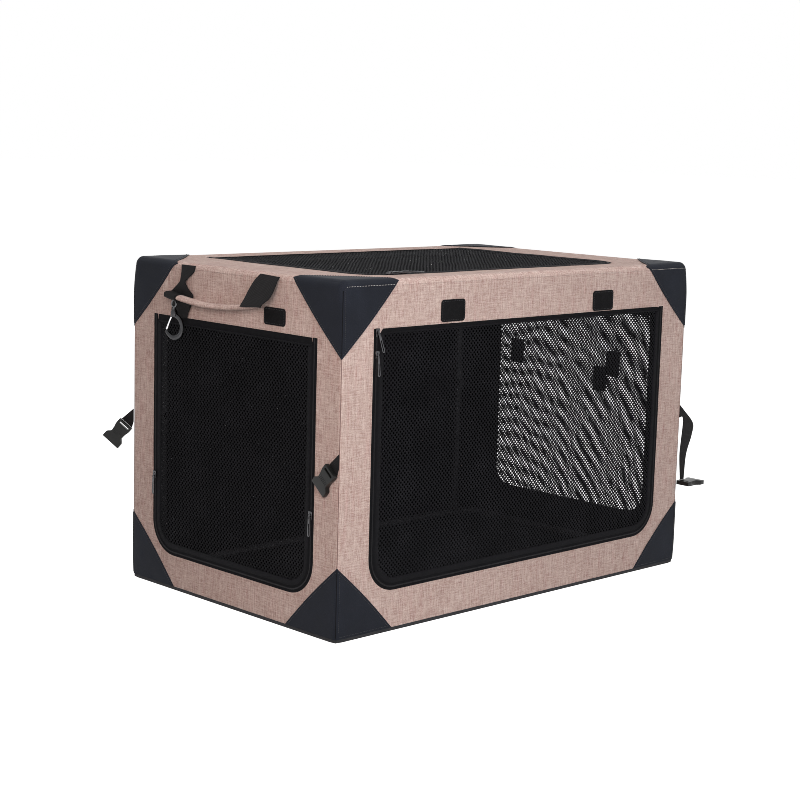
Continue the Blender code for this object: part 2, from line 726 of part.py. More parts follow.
def buckle_outline():
    """Half of a side release buckle: a strap bar end, a waist and a flared mouth."""
    widths = (BUCKLE_TAIL, BUCKLE_TAIL, BUCKLE_WAIST, BUCKLE_WAIST, BUCKLE_FLARE, BUCKLE_FLARE)
    stations = (0.0, *BUCKLE_STATIONS, 1.0)
    half = [(share * BUCKLE_LENGTH, width / 2) for share, width in zip(stations, widths)]
    return [(x, -y) for x, y in half] + [(x, y) for x, y in reversed(half)]


def add_buckle(name, place, parent):
    mesh = plate_mesh(name, [buckle_outline()], BUCKLE_THICKNESS)
    buckle = add_object(name, mesh, "gloss_plastic", place)
    add_bevel(buckle, BUCKLE_BEVEL)
    attach(buckle, parent)


def add_short_strap(place, corner_y, heading):
    """A short webbing at a left corner, with its buckle half hanging out along heading."""
    sy = 1 if corner_y > 0 else -1
    seam = Vector((-SKIN_X - SEAT_GAP, corner_y, STRAP_TOP_HEIGHT - STRAP_WIDTH / 2))
    down = Z_AXIS * sin(SHORT_STRAP_ANGLE)
    run = (heading * cos(SHORT_STRAP_ANGLE) + down).normalized()
    out = Vector((-heading.y * sy, heading.x * sy, 0.0))
    out = out if out.x < 0 else -out
    across = run.cross(out).normalized()
    pivot = add_pivot(f"{place}_strap_pivot", seam)
    edge = across * (STRAP_WIDTH / 2)
    far = seam + run * SHORT_STRAP_LENGTH
    sewn = Z_AXIS * (STRAP_WIDTH / 2)
    sections = [(seam + sewn, seam - sewn), (far + edge, far - edge)]
    if edge.dot(sewn) < 0:
        sections[1] = (far - edge, far + edge)
    if run.cross(-sewn).dot(out) < 0:
        sections = [(low, high) for high, low in sections]
    mesh = ribbon_mesh(f"{place}_strap", sections, WEBBING_THICKNESS)
    attach(add_object(f"{place}_strap", mesh, "black_webbing"), pivot)
    frame = Matrix((run, out.cross(run), out)).transposed().to_4x4()
    frame.translation = far + run * SEAT_GAP
    add_buckle(f"{place}_buckle", frame, pivot)


def add_long_strap(place, sy):
    """A long webbing at a right corner: out from the seam, folded over and hanging down."""
    y = sy * SKIN_Y
    seam_x = SKIN_X + SEAT_GAP
    top = STRAP_TOP_HEIGHT
    sections = [((seam_x, y, top), (seam_x, y, top - STRAP_WIDTH))]
    for fold in LONG_STRAP_FOLDS:
        sections.append([(seam_x + out * LONG_STRAP_REACH, y, top - down) for out, down in fold])
    end_x = seam_x + LONG_STRAP_END_OUT
    end_y = y + sy * (BUCKLE_TAIL - BUCKLE_WAIST)
    end_z = top - LONG_STRAP_DROP
    sections.append(((end_x + LONG_STRAP_END_WIDTH, end_y, end_z), (end_x, end_y, end_z)))
    if sy > 0:
        sections = [(low, high) for high, low in sections]
    pivot = add_pivot(f"{place}_strap_pivot", (seam_x, y, top - STRAP_WIDTH / 2))
    mesh = ribbon_mesh(f"{place}_strap", sections, WEBBING_THICKNESS)
    attach(add_object(f"{place}_strap", mesh, "black_webbing"), pivot)
    run, out = X_AXIS, -Z_AXIS
    frame = Matrix((run, out.cross(run), out)).transposed().to_4x4()
    frame.translation = (seam_x, y + sy * BUCKLE_TAIL / 2, end_z - SEAT_GAP)
    add_buckle(f"{place}_buckle", frame, pivot)


def add_straps():
    splay = Vector((-sin(REAR_STRAP_SPLAY), cos(REAR_STRAP_SPLAY), 0.0))
    add_short_strap("front_left", -SKIN_Y, Y_AXIS)
    add_short_strap("rear_left", SKIN_Y, splay)
    add_long_strap("front_right", -1)
    add_long_strap("rear_right", 1)


def add_slider(name, side, at, pull_angle, parent):
    """A zip slider lying on a face with its pull, whose angle is from straight down the face.

    The pull turns about its outer surface, so that it swings up clear of the slider.
    """
    surface = on_face(side, -SEAT_GAP)
    half_width, half_length = SLIDER_WIDTH / 2, SLIDER_LENGTH / 2
    place = surface @ Matrix.Translation((*at, 0.0))
    outline = rectangle(-half_width, -half_length, half_width, half_length)
    if side == "roof":
        outline = rectangle(-half_length, -half_width, half_length, half_width)
    body = add_object(name, plate_mesh(name, [outline], SLIDER_THICKNESS), "dark_zinc", place)
    add_bevel(body, SLIDER_BEVEL, 1)
    track = add_pivot(f"{name}_track", place.translation, parent)
    attach(body, track)
    raised = Matrix.Translation((0.0, 0.0, SLIDER_THICKNESS + SEAT_GAP))
    hung = place @ raised @ Matrix.Rotation(pull_angle, 4, "Z")
    half = PULL_WIDTH / 2
    outline = arc((0.0, -PULL_LENGTH + half), half, pi, 2 * pi, PULL_END_STEPS)
    outline += [(PULL_NECK_WIDTH / 2, 0.0), (-PULL_NECK_WIDTH / 2, 0.0)]
    pull_name = name.replace("slider", "pull")
    pull = add_object(pull_name, plate_mesh(pull_name, [outline], PULL_THICKNESS), "dark_zinc", hung)
    hinge_at = hung @ Vector((0.0, 0.0, PULL_THICKNESS))
    hinge = add_pivot(f"{pull_name}_hinge", hinge_at, track)
    attach(pull, hinge)


def add_sliders(top):
    """Two sliders on the zip round each door, lying on the band of cloth beside the door."""
    offset = SLIDER_WIDTH / 2 + DOOR_SEAM_GAP
    line = FRONT_DOOR_HALF + offset
    for number, (drop, tilt) in enumerate(zip(FRONT_SLIDER_DROPS, FRONT_PULL_TILTS), 1):
        at = (-line, FRONT_DOOR_HEAD + ZIP_BAND - drop)
        add_slider(f"front_slider_{number}", "front", at, tilt, None)
    line = END_DOOR_HALF + offset
    for side in ("left", "right"):
        add_slider(f"{side}_slider_1", side, (-line, END_SLIDER_HEIGHT), 0.0, None)
        add_slider(f"{side}_slider_2", side, (line, END_SLIDER_HEIGHT), 0.0, None)
    for number, inset in enumerate(ROOF_SLIDER_INSETS, 1):
        at = (-ROOF_DOOR_HALF + inset, ROOF_DOOR_FRONT - offset)
        add_slider(f"top_slider_{number}", "roof", at, -ROOF_PULL_TILT, top)


def main():
    clear_scene()
    top = add_frame()
    add_cover()
    add_roof(top)
    add_patches(top)
    add_doors(top)
    handle = add_handle(top)
    add_hook(handle)
    add_straps()
    add_sliders(top)


main()
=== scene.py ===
"""Dresses the folding dog crate: its sewn cover, netted doors and fittings, and the studio.

Metres, +Z up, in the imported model's own frame. The long front faces -Y and the end
with the carry handle faces -X.
"""

import json
import logging
from dataclasses import dataclass, field
from enum import Enum
from math import cos, pi, radians, sin, tau
from typing import Callable, Optional, Sequence, Union

import bmesh
import bpy
from mathutils import Matrix, Vector, noise

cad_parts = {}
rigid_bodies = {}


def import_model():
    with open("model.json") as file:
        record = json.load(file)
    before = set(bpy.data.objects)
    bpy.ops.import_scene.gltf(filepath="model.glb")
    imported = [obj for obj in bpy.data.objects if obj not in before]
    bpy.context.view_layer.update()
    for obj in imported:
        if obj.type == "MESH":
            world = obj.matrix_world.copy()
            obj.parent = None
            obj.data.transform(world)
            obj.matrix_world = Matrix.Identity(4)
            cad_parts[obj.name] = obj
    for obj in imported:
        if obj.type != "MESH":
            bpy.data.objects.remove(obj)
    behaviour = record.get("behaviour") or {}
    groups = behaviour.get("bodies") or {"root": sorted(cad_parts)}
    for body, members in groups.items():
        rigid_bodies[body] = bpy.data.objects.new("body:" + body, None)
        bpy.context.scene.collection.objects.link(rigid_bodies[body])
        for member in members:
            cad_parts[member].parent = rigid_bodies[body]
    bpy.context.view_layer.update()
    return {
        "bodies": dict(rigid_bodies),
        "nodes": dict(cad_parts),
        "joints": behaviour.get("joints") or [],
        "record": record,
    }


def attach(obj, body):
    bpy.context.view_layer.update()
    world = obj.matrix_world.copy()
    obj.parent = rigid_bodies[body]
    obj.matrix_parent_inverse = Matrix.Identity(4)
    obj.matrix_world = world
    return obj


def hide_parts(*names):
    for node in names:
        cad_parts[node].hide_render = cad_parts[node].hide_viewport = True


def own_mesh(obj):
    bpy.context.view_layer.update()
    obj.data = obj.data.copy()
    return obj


LOG = logging.getLogger("dog_crate")
Colour = tuple[float, float, float]
Place = Callable[[float, float], Vector]
Stitch = tuple[Vector, Vector, Vector]

# The crate's own sizes, as its CAD source has them
HEIGHT = 0.600
SEAT = 0.0003
SKIN_X, SKIN_Y, ROOF_TOP = 0.4535, 0.2835, 0.5985
WALL_FOOT, WALL_HEAD = 0.0043, 0.5952
DOOR_THICKNESS = 0.0024
ZIP_BAND = 0.012
SLIDER_OFFSET = 0.0048
WEBBING_THICKNESS = 0.0015
CLOTH_UV = "cloth"
# How far the roof's cloth folds down over the walls
ROOF_FLAP = 0.0105
# What the round lower corners of a doorway take off its area, as a share of their radius squared
CORNER_LOSS = 0.43
# Points of a mesh nearer than this are one
WELD = 0.000004
# The sides of a ribbon's cross-section, and how square it is
RIBBON_SIDES, RIBBON_POWER = 16, 7.0
# The largest turn of an edge that is shaded smooth, for plates, turned metal, tapes and soft pieces
PLATE_SHARP, METAL_SHARP, TAPE_SHARP, SOFT_SHARP = radians(30), radians(50), radians(60), radians(80)
WHITE = (1.0, 1.0, 1.0)
# The steps round one corner of an outline
ARC_STEPS = 12
# The crate's upright corners, with the signs of their X and Y
CORNERS = (("front_left", -1, -1), ("front_right", 1, -1), ("rear_left", -1, 1), ("rear_right", 1, 1))


class Side(Enum):
    """A face of the crate."""

    FRONT = "front"
    REAR = "rear"
    LEFT = "left"
    RIGHT = "right"
    ROOF = "roof"


class Crumple(Enum):
    """Which way a soft piece should flatten as the crate folds: down to the base, up to the roof, or not; nothing
    here makes it flatten.
    """

    TO_BASE = "base"
    TO_ROOF = "roof"
    NONE = "none"


def fade(value: float, low: float, high: float) -> float:
    """Zero up to low, one from high on, smooth in between."""
    share = min(max((value - low) / (high - low), 0.0), 1.0)
    return share * share * (3 - 2 * share)


@dataclass(frozen=True)
class Face:
    """A face's own axes: across, up and outward, with its distance from the middle."""

    across: Vector
    up: Vector
    reach: float

    @property
    def outward(self) -> Vector:
        """The direction that the face looks in."""
        return self.across.cross(self.up)

    def at(self, u: float, v: float, out: float = 0.0) -> Vector:
        """The point u across, v up and out in front of the face's outer surface."""
        return self.across * u + self.up * v + self.outward * (self.reach + out)

    def matrix(self, u: float, v: float, out: float) -> Matrix:
        """Places a piece drawn in X and Y, facing +Z, at a point of the face."""
        made = Matrix((self.across, self.up, self.outward)).transposed().to_4x4()
        made.translation = self.at(u, v, out)
        return made


X_AXIS, Y_AXIS, Z_AXIS = Vector((1, 0, 0)), Vector((0, 1, 0)), Vector((0, 0, 1))
FACES = {
    Side.FRONT: Face(X_AXIS, Z_AXIS, SKIN_Y),
    Side.REAR: Face(-X_AXIS, Z_AXIS, SKIN_Y),
    Side.LEFT: Face(-Y_AXIS, Z_AXIS, SKIN_X),
    Side.RIGHT: Face(Y_AXIS, Z_AXIS, SKIN_X),
    Side.ROOF: Face(X_AXIS, Y_AXIS, ROOF_TOP),
}


@dataclass(frozen=True)
class SoftBox:
    """The crate's outer box with soft edges, crisp down the corners and broad along the roof."""

    grow: float = 0.0
    upright: float = 0.0030
    crown: float = 0.0125
    crown_start: float = 0.060
    foot: float = 0.0075
    foot_end: float = 0.045

    def settle(self, point: Vector, out: float = 0.0) -> Vector:
        """Moves a point of the sharp box on to the soft one.

        Args:
            point: a point on the sharp box; one beyond the roof's rim is folded down over it.
            out: how far outside the soft skin it ends.

        Returns:
            The moved point.
        """
        half_x, half_y, head = SKIN_X + self.grow, SKIN_Y + self.grow, ROOF_TOP + self.grow
        over = max(abs(point.x) - half_x, abs(point.y) - half_y, 0.0)
        z = point.z - over
        x = min(max(point.x, -half_x), half_x)
        y = min(max(point.y, -half_y), half_y)
        high = fade(z, head - self.crown_start, head - self.crown * 0.6)
        low = 1.0 - fade(z, 0.0, self.foot_end)
        side = self.upright + (self.crown - self.upright) * high + (self.foot - self.upright) * low
        inner = Vector(
            (
                min(max(x, side - half_x), half_x - side),
                min(max(y, side - half_y), half_y - side),
                min(z, head - self.crown),
            )
        )
        away = Vector((x, y, z)) - inner
        share = Vector((away.x / side, away.y / side, away.z / self.crown)).length
        if share < 1e-6:
            return Vector((x, y, z))
        normal = Vector((away.x / side, away.y / side, away.z / self.crown)).normalized()
        return inner + away / max(share, 1.0) + normal * out


SKIN = SoftBox()
OVER_SKIN = SoftBox(0.0014, 0.0044, 0.0139)


# ---------------------------------------------------------------------------
# Materials
# ---------------------------------------------------------------------------


class Signal:
    """A number in a material's nodes; Python's arithmetic on it adds Math nodes."""

    def __init__(self, tree: "Tree", socket: bpy.types.NodeSocket) -> None:
        """Wraps one output socket of a tree."""
        self.tree = tree
        self.socket = socket

    def _math(self, operation: str, *values: object) -> "Signal":
        """Adds a Math node with the given inputs and returns its result."""
        node = self.tree.add("ShaderNodeMath", {"operation": operation}, dict(enumerate(values)))
        return Signal(self.tree, node.outputs[0])

    def __add__(self, other: object) -> "Signal":
        """Self plus other."""
        return self._math("ADD", self, other)

    def __sub__(self, other: object) -> "Signal":
        """Self less other."""
        return self._math("SUBTRACT", self, other)

    def __mul__(self, other: object) -> "Signal":
        """Self times other."""
        return self._math("MULTIPLY", self, other)

    def __rsub__(self, other: object) -> "Signal":
        """Other less self."""
        return self._math("SUBTRACT", other, self)

    __radd__ = __add__

    def cos(self) -> "Signal":
        """The cosine of self, in radians."""
        return self._math("COSINE", self)

    def sin(self) -> "Signal":
        """The sine of self, in radians."""
        return self._math("SINE", self)

    def between(self, low: float, high: float) -> "Signal":
        """Zero up to low, one from high on, and a straight ramp in between."""
        settings = {"clamp": True}
        sockets = {"Value": self, "From Min": low, "From Max": high, "To Min": 0.0, "To Max": 1.0}
        return Signal(self.tree, self.tree.add("ShaderNodeMapRange", settings, sockets).outputs[0])


class Tree:
    """The nodes of one material, or of the world."""

    def __init__(self, owner: Union[bpy.types.Material, bpy.types.World]) -> None:
        """Empties the nodes of a material or a world."""
        owner.use_nodes = True
        self.nodes = owner.node_tree.nodes
        self.links = owner.node_tree.links
        self.nodes.clear()

    def add(
        self,
        kind: str,
        settings: Optional[dict[str, object]] = None,
        sockets: Optional[dict[Union[str, int], object]] = None,
    ) -> bpy.types.Node:
        """Adds a node.

        Args:
            kind: the node's type.
            settings: its properties, set first; "stops" are a ramp's positions and colours.
            sockets: values or links of its inputs, by name or number.

        Returns:
            The node.
        """
        node = self.nodes.new(kind)
        for name, value in (settings or {}).items():
            if name == "stops":
                self._set_stops(node, value)
            else:
                setattr(node, name, value)
        for key, value in (sockets or {}).items():
            self.put(node.inputs[key], value)
        return node

    def put(self, socket: bpy.types.NodeSocket, value: object) -> None:
        """Links a value to an input socket, or sets it there if it's a constant."""
        if isinstance(value, Signal):
            value = value.socket
        if isinstance(value, bpy.types.NodeSocket):
            self.links.new(value, socket)
        elif isinstance(value, tuple) and socket.type == "RGBA" and len(value) == 3:
            socket.default_value = (*value, 1.0)
        else:
            socket.default_value = value

    @staticmethod
    def _set_stops(node: bpy.types.Node, stops: Sequence[tuple[float, Colour]]) -> None:
        """Gives a colour ramp its stops."""
        elements = node.color_ramp.elements
        for index, (position, colour) in enumerate(stops):
            element = elements[index] if index < 2 else elements.new(position)
            element.position = position
            element.color = (*colour, 1.0)

    def cloth_point(self) -> bpy.types.NodeSocket:
        """Flat coordinates in metres, which follow a piece of cloth."""
        return self.add("ShaderNodeUVMap", {"uv_map": CLOTH_UV}).outputs[0]

    def solid_point(self) -> bpy.types.NodeSocket:
        """Object coordinates in metres."""
        return self.add("ShaderNodeTexCoord").outputs["Object"]

    def scaled(self, point: bpy.types.NodeSocket, scale: Colour, turn: float = 0.0) -> bpy.types.NodeSocket:
        """Point turned about Z and stretched by scale."""
        sockets = {"Vector": point, "Rotation": (0.0, 0.0, turn), "Scale": scale}
        return self.add("ShaderNodeMapping", {}, sockets).outputs[0]

    def axes(self, point: bpy.types.NodeSocket) -> tuple[Signal, Signal, Signal]:
        """The three numbers of a point."""
        split = self.add("ShaderNodeSeparateXYZ", {}, {0: point})
        return tuple(Signal(self, split.outputs[k]) for k in range(3))

    def noise(self, point: bpy.types.NodeSocket, scale: float, detail: float = 2.0, rough: float = 0.5) -> Signal:
        """Smooth noise from 0 to 1 at a point."""
        sockets = {"Vector": point, "Scale": scale, "Detail": detail, "Roughness": rough}
        return Signal(self, self.add("ShaderNodeTexNoise", {}, sockets).outputs[0])

    def cells(self, point: bpy.types.NodeSocket, scale: float) -> Signal:
        """Distance to the nearest of scattered points."""
        sockets = {"Vector": point, "Scale": scale}
        return Signal(self, self.add("ShaderNodeTexVoronoi", {}, sockets).outputs[0])

    def ramp(self, value: Signal, stops: Sequence[tuple[float, Colour]]) -> bpy.types.NodeSocket:
        """A colour read from a ramp at a value."""
        return self.add("ShaderNodeValToRGB", {"stops": stops}, {0: value}).outputs[0]

    def tones(self, value: Signal, colour: Colour, *stops: tuple[float, float]) -> bpy.types.NodeSocket:
        """A ramp of one colour, darker or lighter by a factor at each stop, up to white."""
        shades = [(position, tuple(min(1.0, factor * c) for c in colour)) for position, factor in stops]
        return self.ramp(value, shades)

    def mix(self, share: object, first: object, second: object, blend: str = "MIX") -> bpy.types.NodeSocket:
        """A mix of two colours."""
        settings = {"data_type": "RGBA", "blend_type": blend}
        return self.add("ShaderNodeMix", settings, {0: share, 6: first, 7: second}).outputs[2]

    def bump(self, height: Signal, depth: float, strength: float = 1.0) -> bpy.types.NodeSocket:
        """A normal bent by a height, from 0 to 1, that is depth metres deep."""
        sockets = {"Height": height, "Distance": depth, "Strength": strength}
        return self.add("ShaderNodeBump", {}, sockets).outputs[0]

    def shade(self, **sockets: object) -> None:
        """Ends in a Principled shader; words in an input's name are joined by underscores."""
        inputs = {name.replace("_", " "): value for name, value in sockets.items()}
        self.end("ShaderNodeOutputMaterial", self.add("ShaderNodeBsdfPrincipled", {}, inputs))

    def end(self, kind: str, shader: bpy.types.Node) -> None:
        """Adds the output node, and gives it the last shader."""
        self.add(kind, {}, {"Surface": shader.outputs[0]})

    def blend(
        self, share: bpy.types.NodeSocket, first: bpy.types.Node, second: bpy.types.Node
    ) -> bpy.types.Node:
        """A mix of two shaders."""
        return self.add("ShaderNodeMixShader", {}, {0: share, 1: first.outputs[0], 2: second.outputs[0]})

    def seen(self) -> bpy.types.NodeSocket:
        """One for rays from the camera, off a mirror or through glass, and zero for the rest."""
        rays = self.add("ShaderNodeLightPath").outputs
        most, camera, glossy = {"operation": "MAXIMUM"}, rays["Is Camera Ray"], rays["Is Glossy Ray"]
        direct = self.add("ShaderNodeMath", most, {0: camera, 1: glossy}).outputs[0]
        return self.add("ShaderNodeMath", most, {0: direct, 1: rays["Is Transmission Ray"]}).outputs[0]


@dataclass(frozen=True)
class Finish:
    """A finish, whose material is made once and shared."""

    name: str

    def material(self) -> bpy.types.Material:
        """The finish's material."""
        found = bpy.data.materials.get(self.name)
        if found:
            return found
        made = bpy.data.materials.new(self.name)
        self.paint(Tree(made))
        return made

    def paint(self, tree: Tree) -> None:
        """Adds the finish's nodes to a tree."""
        raise NotImplementedError


@dataclass(frozen=True)
class Linen(Finish):
    """Heathered linen-look cloth: uneven threads of several tones both ways, finely woven."""

    light: Colour = (0.70, 0.585, 0.540)
    middle: Colour = (0.545, 0.415, 0.372)
    dark: Colour = (0.36, 0.232, 0.206)
    thread: float = 0.0011
    slub_length: float = 0.022
    slub_width: float = 0.0023

    def paint(self, tree: Tree) -> None:
        """Adds the cloth's nodes."""
        point = tree.cloth_point()
        slow, quick = 1 / self.slub_length, 1 / self.slub_width
        weft = tree.noise(tree.scaled(point, (slow, quick, 1.0)), 1.0, 3.0, 0.62)
        warp = tree.noise(tree.scaled(point, (quick, slow, 1.0)), 1.0, 3.0, 0.62)
        band = tree.noise(tree.scaled(point, (230.0, 9.0, 1.0)), 1.0, 2.0)
        cloud = tree.noise(point, 13.0, 3.0)
        fleck = tree.noise(point, 430.0, 1.0)
        tone = weft * 0.40 + warp * 0.46 + band * 0.14 + (cloud - 0.5) * 0.10 + (fleck - 0.5) * 0.26
        colour = tree.ramp(tone, ((0.35, self.dark), (0.50, self.middle), (0.64, self.light)))
        rosy = tree.noise(tree.scaled(point, (120.0, 14.0, 1.0)), 1.0, 2.0).between(0.52, 0.74)
        colour = tree.mix(rosy * 0.42, colour, (0.94, 0.76, 0.78), "MULTIPLY")
        u, v, _ = tree.axes(point)
        turns = tau / self.thread
        weave = (u * turns).sin() * (v * turns).sin()
        pucker = tree.noise(point, 38.0, 2.0)
        height = weave * 0.12 + (weft + warp) * 0.26 + pucker * 1.1
        tree.shade(
            Base_Color=colour,
            Roughness=0.93 - (tone - 0.5) * 0.2,
            Specular_IOR_Level=0.10,
            Sheen_Weight=0.03,
            Sheen_Roughness=0.6,
            Normal=tree.bump(height, 0.0008),
        )


@dataclass(frozen=True)
class PlainWeave(Finish):
    """Black woven cloth: lining, floor cloth, zip tape or binding."""

    colour: Colour = (0.016, 0.016, 0.018)
    thread: float = 0.0009
    lean: float = 0.0
    rough: float = 0.88
    depth: float = 0.0002
    shine: float = 0.06

    def paint(self, tree: Tree) -> None:
        """Adds the cloth's nodes."""
        point = tree.cloth_point()
        turned = tree.scaled(point, (1.0, 1.0, 1.0), self.lean)
        u, v, _ = tree.axes(turned)
        turns = tau / self.thread
        weave = (u * turns).sin() * (v * turns).sin() * 0.5 + 0.5
        cloud = tree.noise(point, 22.0, 3.0)
        tone = weave * 0.35 + cloud * 0.65
        tree.shade(
            Base_Color=tree.tones(tone, self.colour, (0.25, 0.55), (0.5, 1.0), (0.8, 1.7)),
            Roughness=self.rough + (cloud - 0.5) * 0.12,
            Specular_IOR_Level=self.shine,
            Normal=tree.bump(weave + cloud * 2.0, self.depth),
        )


@dataclass(frozen=True)
class Netting(Finish):
    """Knitted polyester netting: staggered round holes between black threads."""

    colour: Colour = (0.0085, 0.0085, 0.0100)
    pitch_across: float = 0.0082
    pitch_up: float = 0.0082
    edge: float = 0.46
    soft: float = 0.08
    drift: float = 0.0058

    def paint(self, tree: Tree) -> None:
        """Adds the net's nodes; its holes are transparent, and its rows drift as they stretch."""
        point = tree.cloth_point()
        u, v, _ = tree.axes(point)
        sway = tree.noise(point, 15.0, 2.0) - 0.5
        lift = tree.noise(tree.scaled(point, (1.0, 1.0, 1.0), 1.3), 12.0, 2.0) - 0.5
        columns = ((u + sway * self.drift) * (tau / self.pitch_across)).cos()
        rows = ((v + lift * self.drift) * (tau / self.pitch_up)).cos()
        hills = columns * rows * 2.0
        solid = 1.0 - hills.between(self.edge - self.soft, self.edge + self.soft)
        strand = tree.noise(tree.scaled(point, (700.0, 260.0, 1.0)), 1.0, 2.0)
        stray = tree.noise(point, 14.0, 2.0)
        tone = strand * 0.6 + stray * 0.4
        tree.shade(
            Base_Color=tree.tones(tone, self.colour, (0.3, 0.5), (0.5, 1.0), (0.75, 2.6)),
            Roughness=0.62 + strand * 0.25,
            Specular_IOR_Level=0.05,
            Alpha=solid,
            Normal=tree.bump(0.0 - hills, 0.0006, 0.7),
        )


@dataclass(frozen=True)
class Leatherette(Finish):
    """Coated cloth with a fine pebble grain and broad creases."""

    colour: Colour = (0.0145, 0.0167, 0.0230)
    grain: float = 620.0

    def paint(self, tree: Tree) -> None:
        """Adds the grain and its sheen."""
        point = tree.solid_point()
        pebble = tree.cells(point, self.grain)
        fine = tree.noise(point, 1400.0, 2.0)
        cloud = tree.noise(point, 18.0, 3.0)
        crease = tree.noise(tree.scaled(point, (26.0, 26.0, 60.0)), 1.0, 2.0)
        tone = cloud * 0.7 + pebble * 0.3
        tree.shade(
            Base_Color=tree.tones(tone, self.colour, (0.2, 0.75), (0.5, 1.0), (0.8, 1.45)),
            Roughness=0.52 + (cloud - 0.5) * 0.16 + pebble * 0.06,
            Specular_IOR_Level=0.07,
            Normal=tree.bump(pebble * 0.18 + fine * 0.08 + crease * 1.1, 0.0006),
        )


@dataclass(frozen=True)
class Webbing(Finish):
    """Narrow woven webbing with ribs along it and a slanting weave."""

    colour: Colour = (0.0085, 0.0080, 0.0085)
    rib: float = 0.0016

    def paint(self, tree: Tree) -> None:
        """Adds the webbing's nodes; U runs along it and V across."""
        point = tree.cloth_point()
        u, v, _ = tree.axes(point)
        ribs = (v * (tau / self.rib)).sin()
        slant = ((u + v * 0.7) * (tau / (self.rib * 0.9))).sin()
        wear = tree.noise(point, 60.0, 3.0)
        weave = ribs * slant * 0.5 + 0.5
        tone = weave * 0.5 + wear * 0.5
        tree.shade(
            Base_Color=tree.tones(tone, self.colour, (0.2, 0.5), (0.5, 1.0), (0.85, 2.2)),
            Roughness=0.68 + (wear - 0.5) * 0.2,
            Specular_IOR_Level=0.14,
            Normal=tree.bump(weave + ribs * 0.3, 0.00035),
        )


@dataclass(frozen=True)
class ZipCoil(Finish):
    """The zip's nylon coil, its turns side by side."""

    colour: Colour = (0.012, 0.012, 0.0135)
    turn: float = 0.0014

    def paint(self, tree: Tree) -> None:
        """Adds the coil's turns along U."""
        u, _, _ = tree.axes(tree.cloth_point())
        turns = (u * (tau / self.turn)).sin() * 0.5 + 0.5
        tree.shade(
            Base_Color=tree.tones(turns, self.colour, (0.2, 0.3), (0.8, 2.5)),
            Roughness=0.42 + turns * 0.1,
            Specular_IOR_Level=0.10,
            Normal=tree.bump(turns, 0.0005),
        )


@dataclass(frozen=True)
class Moulded(Finish):
    """Glossy moulded plastic with faint flow marks."""

    colour: Colour = (0.0075, 0.0080, 0.0078)
    gloss: float = 0.30

    def paint(self, tree: Tree) -> None:
        """Adds the plastic's nodes."""
        point = tree.solid_point()
        flow = tree.noise(tree.scaled(point, (60.0, 60.0, 240.0)), 1.0, 3.0)
        scuff = tree.noise(point, 900.0, 2.0)
        tree.shade(
            Base_Color=tree.tones(flow, self.colour, (0.3, 1.0), (0.8, 1.6)),
            Roughness=self.gloss + (flow - 0.5) * 0.10 + (scuff - 0.5) * 0.06,
            Specular_IOR_Level=0.24,
            Normal=tree.bump(flow * 0.6 + scuff * 0.05, 0.0002),
        )


@dataclass(frozen=True)
class Metal(Finish):
    """Cast or drawn metal, with fine marks and duller patches."""

    colour: Colour = (0.10, 0.10, 0.11)
    gloss: float = 0.32
    metallic: float = 1.0
    wear: float = 0.5

    def paint(self, tree: Tree) -> None:
        """Adds the metal's nodes."""
        point = tree.solid_point()
        cast = tree.noise(point, 420.0, 3.0)
        patch = tree.noise(point, 70.0, 3.0)
        worn = ((0.3, 1.0 - 0.45 * self.wear), (0.5, 1.0), (0.75, 1.0 + 0.8 * self.wear))
        tree.shade(
            Base_Color=tree.tones(patch * 0.6 + cast * 0.4, self.colour, *worn),
            Metallic=self.metallic,
            Roughness=self.gloss + (patch - 0.5) * 0.18,
            Normal=tree.bump(cast, 0.00012),
        )


@dataclass(frozen=True)
class Fuzz(Finish):
    """Hook-and-loop tape: a short matt pile."""

    colour: Colour = (0.0065, 0.0065, 0.0070)

    def paint(self, tree: Tree) -> None:
        """Adds the pile's nodes."""
        point = tree.solid_point()
        pile = tree.cells(point, 1100.0)
        cloud = tree.noise(point, 150.0, 3.0)
        tree.shade(
            Base_Color=tree.tones(pile * 0.6 + cloud * 0.4, self.colour, (0.2, 1.0), (0.8, 2.4)),
            Roughness=0.95 - pile * 0.1,
            Specular_IOR_Level=0.05,
            Normal=tree.bump(pile + cloud, 0.0006),
        )


@dataclass(frozen=True)
class Thread(Finish):
    """Twisted sewing thread."""

    colour: Colour = (0.5, 0.5, 0.5)

    def paint(self, tree: Tree) -> None:
        """Adds the thread's nodes."""
        point = tree.solid_point()
        twist = tree.noise(point, 1500.0, 2.0)
        tree.shade(
            Base_Color=tree.tones(twist, self.colour, (0.3, 0.6), (0.7, 1.0)),
            Roughness=0.6 + twist * 0.2,
            Normal=tree.bump(twist, 0.0002),
        )


LINEN = Linen("linen_cover")
LINING = PlainWeave("black_lining", (0.0075, 0.0075, 0.0085))
FLOOR_CLOTH = PlainWeave("floor_weave", (0.013, 0.013, 0.014), 0.0011)
ZIP_TAPE = PlainWeave("zip_tape", (0.0075, 0.0077, 0.0088), 0.0008, radians(45), 0.8)
BINDING = PlainWeave("edge_binding", (0.0065, 0.0065, 0.0078), 0.0010, radians(90), 0.7, 0.0003, 0.08)
SEAM_CORD = PlainWeave("seam_cord", (0.21, 0.140, 0.125), 0.0010, radians(90), 0.8)
HEM_TAPE = PlainWeave("hem_tape", (0.030, 0.031, 0.034), 0.0010, radians(90), 0.7, 0.0003, 0.18)
NETTING = Netting("door_netting")
CLOSE_NETTING = Netting("close_netting", pitch_across=0.0074, pitch_up=0.0074)
LEATHERETTE = Leatherette("corner_grain")
WEBBING = Webbing("strap_webbing")
COIL = ZipCoil("zip_coil")
PLASTIC = Moulded("buckle_plastic")
ENAMEL = Metal("tube_enamel", (0.05, 0.05, 0.055), 0.42, 0.4, 0.4)
GUNMETAL = Metal("slider_gunmetal", (0.085, 0.085, 0.09), 0.24)
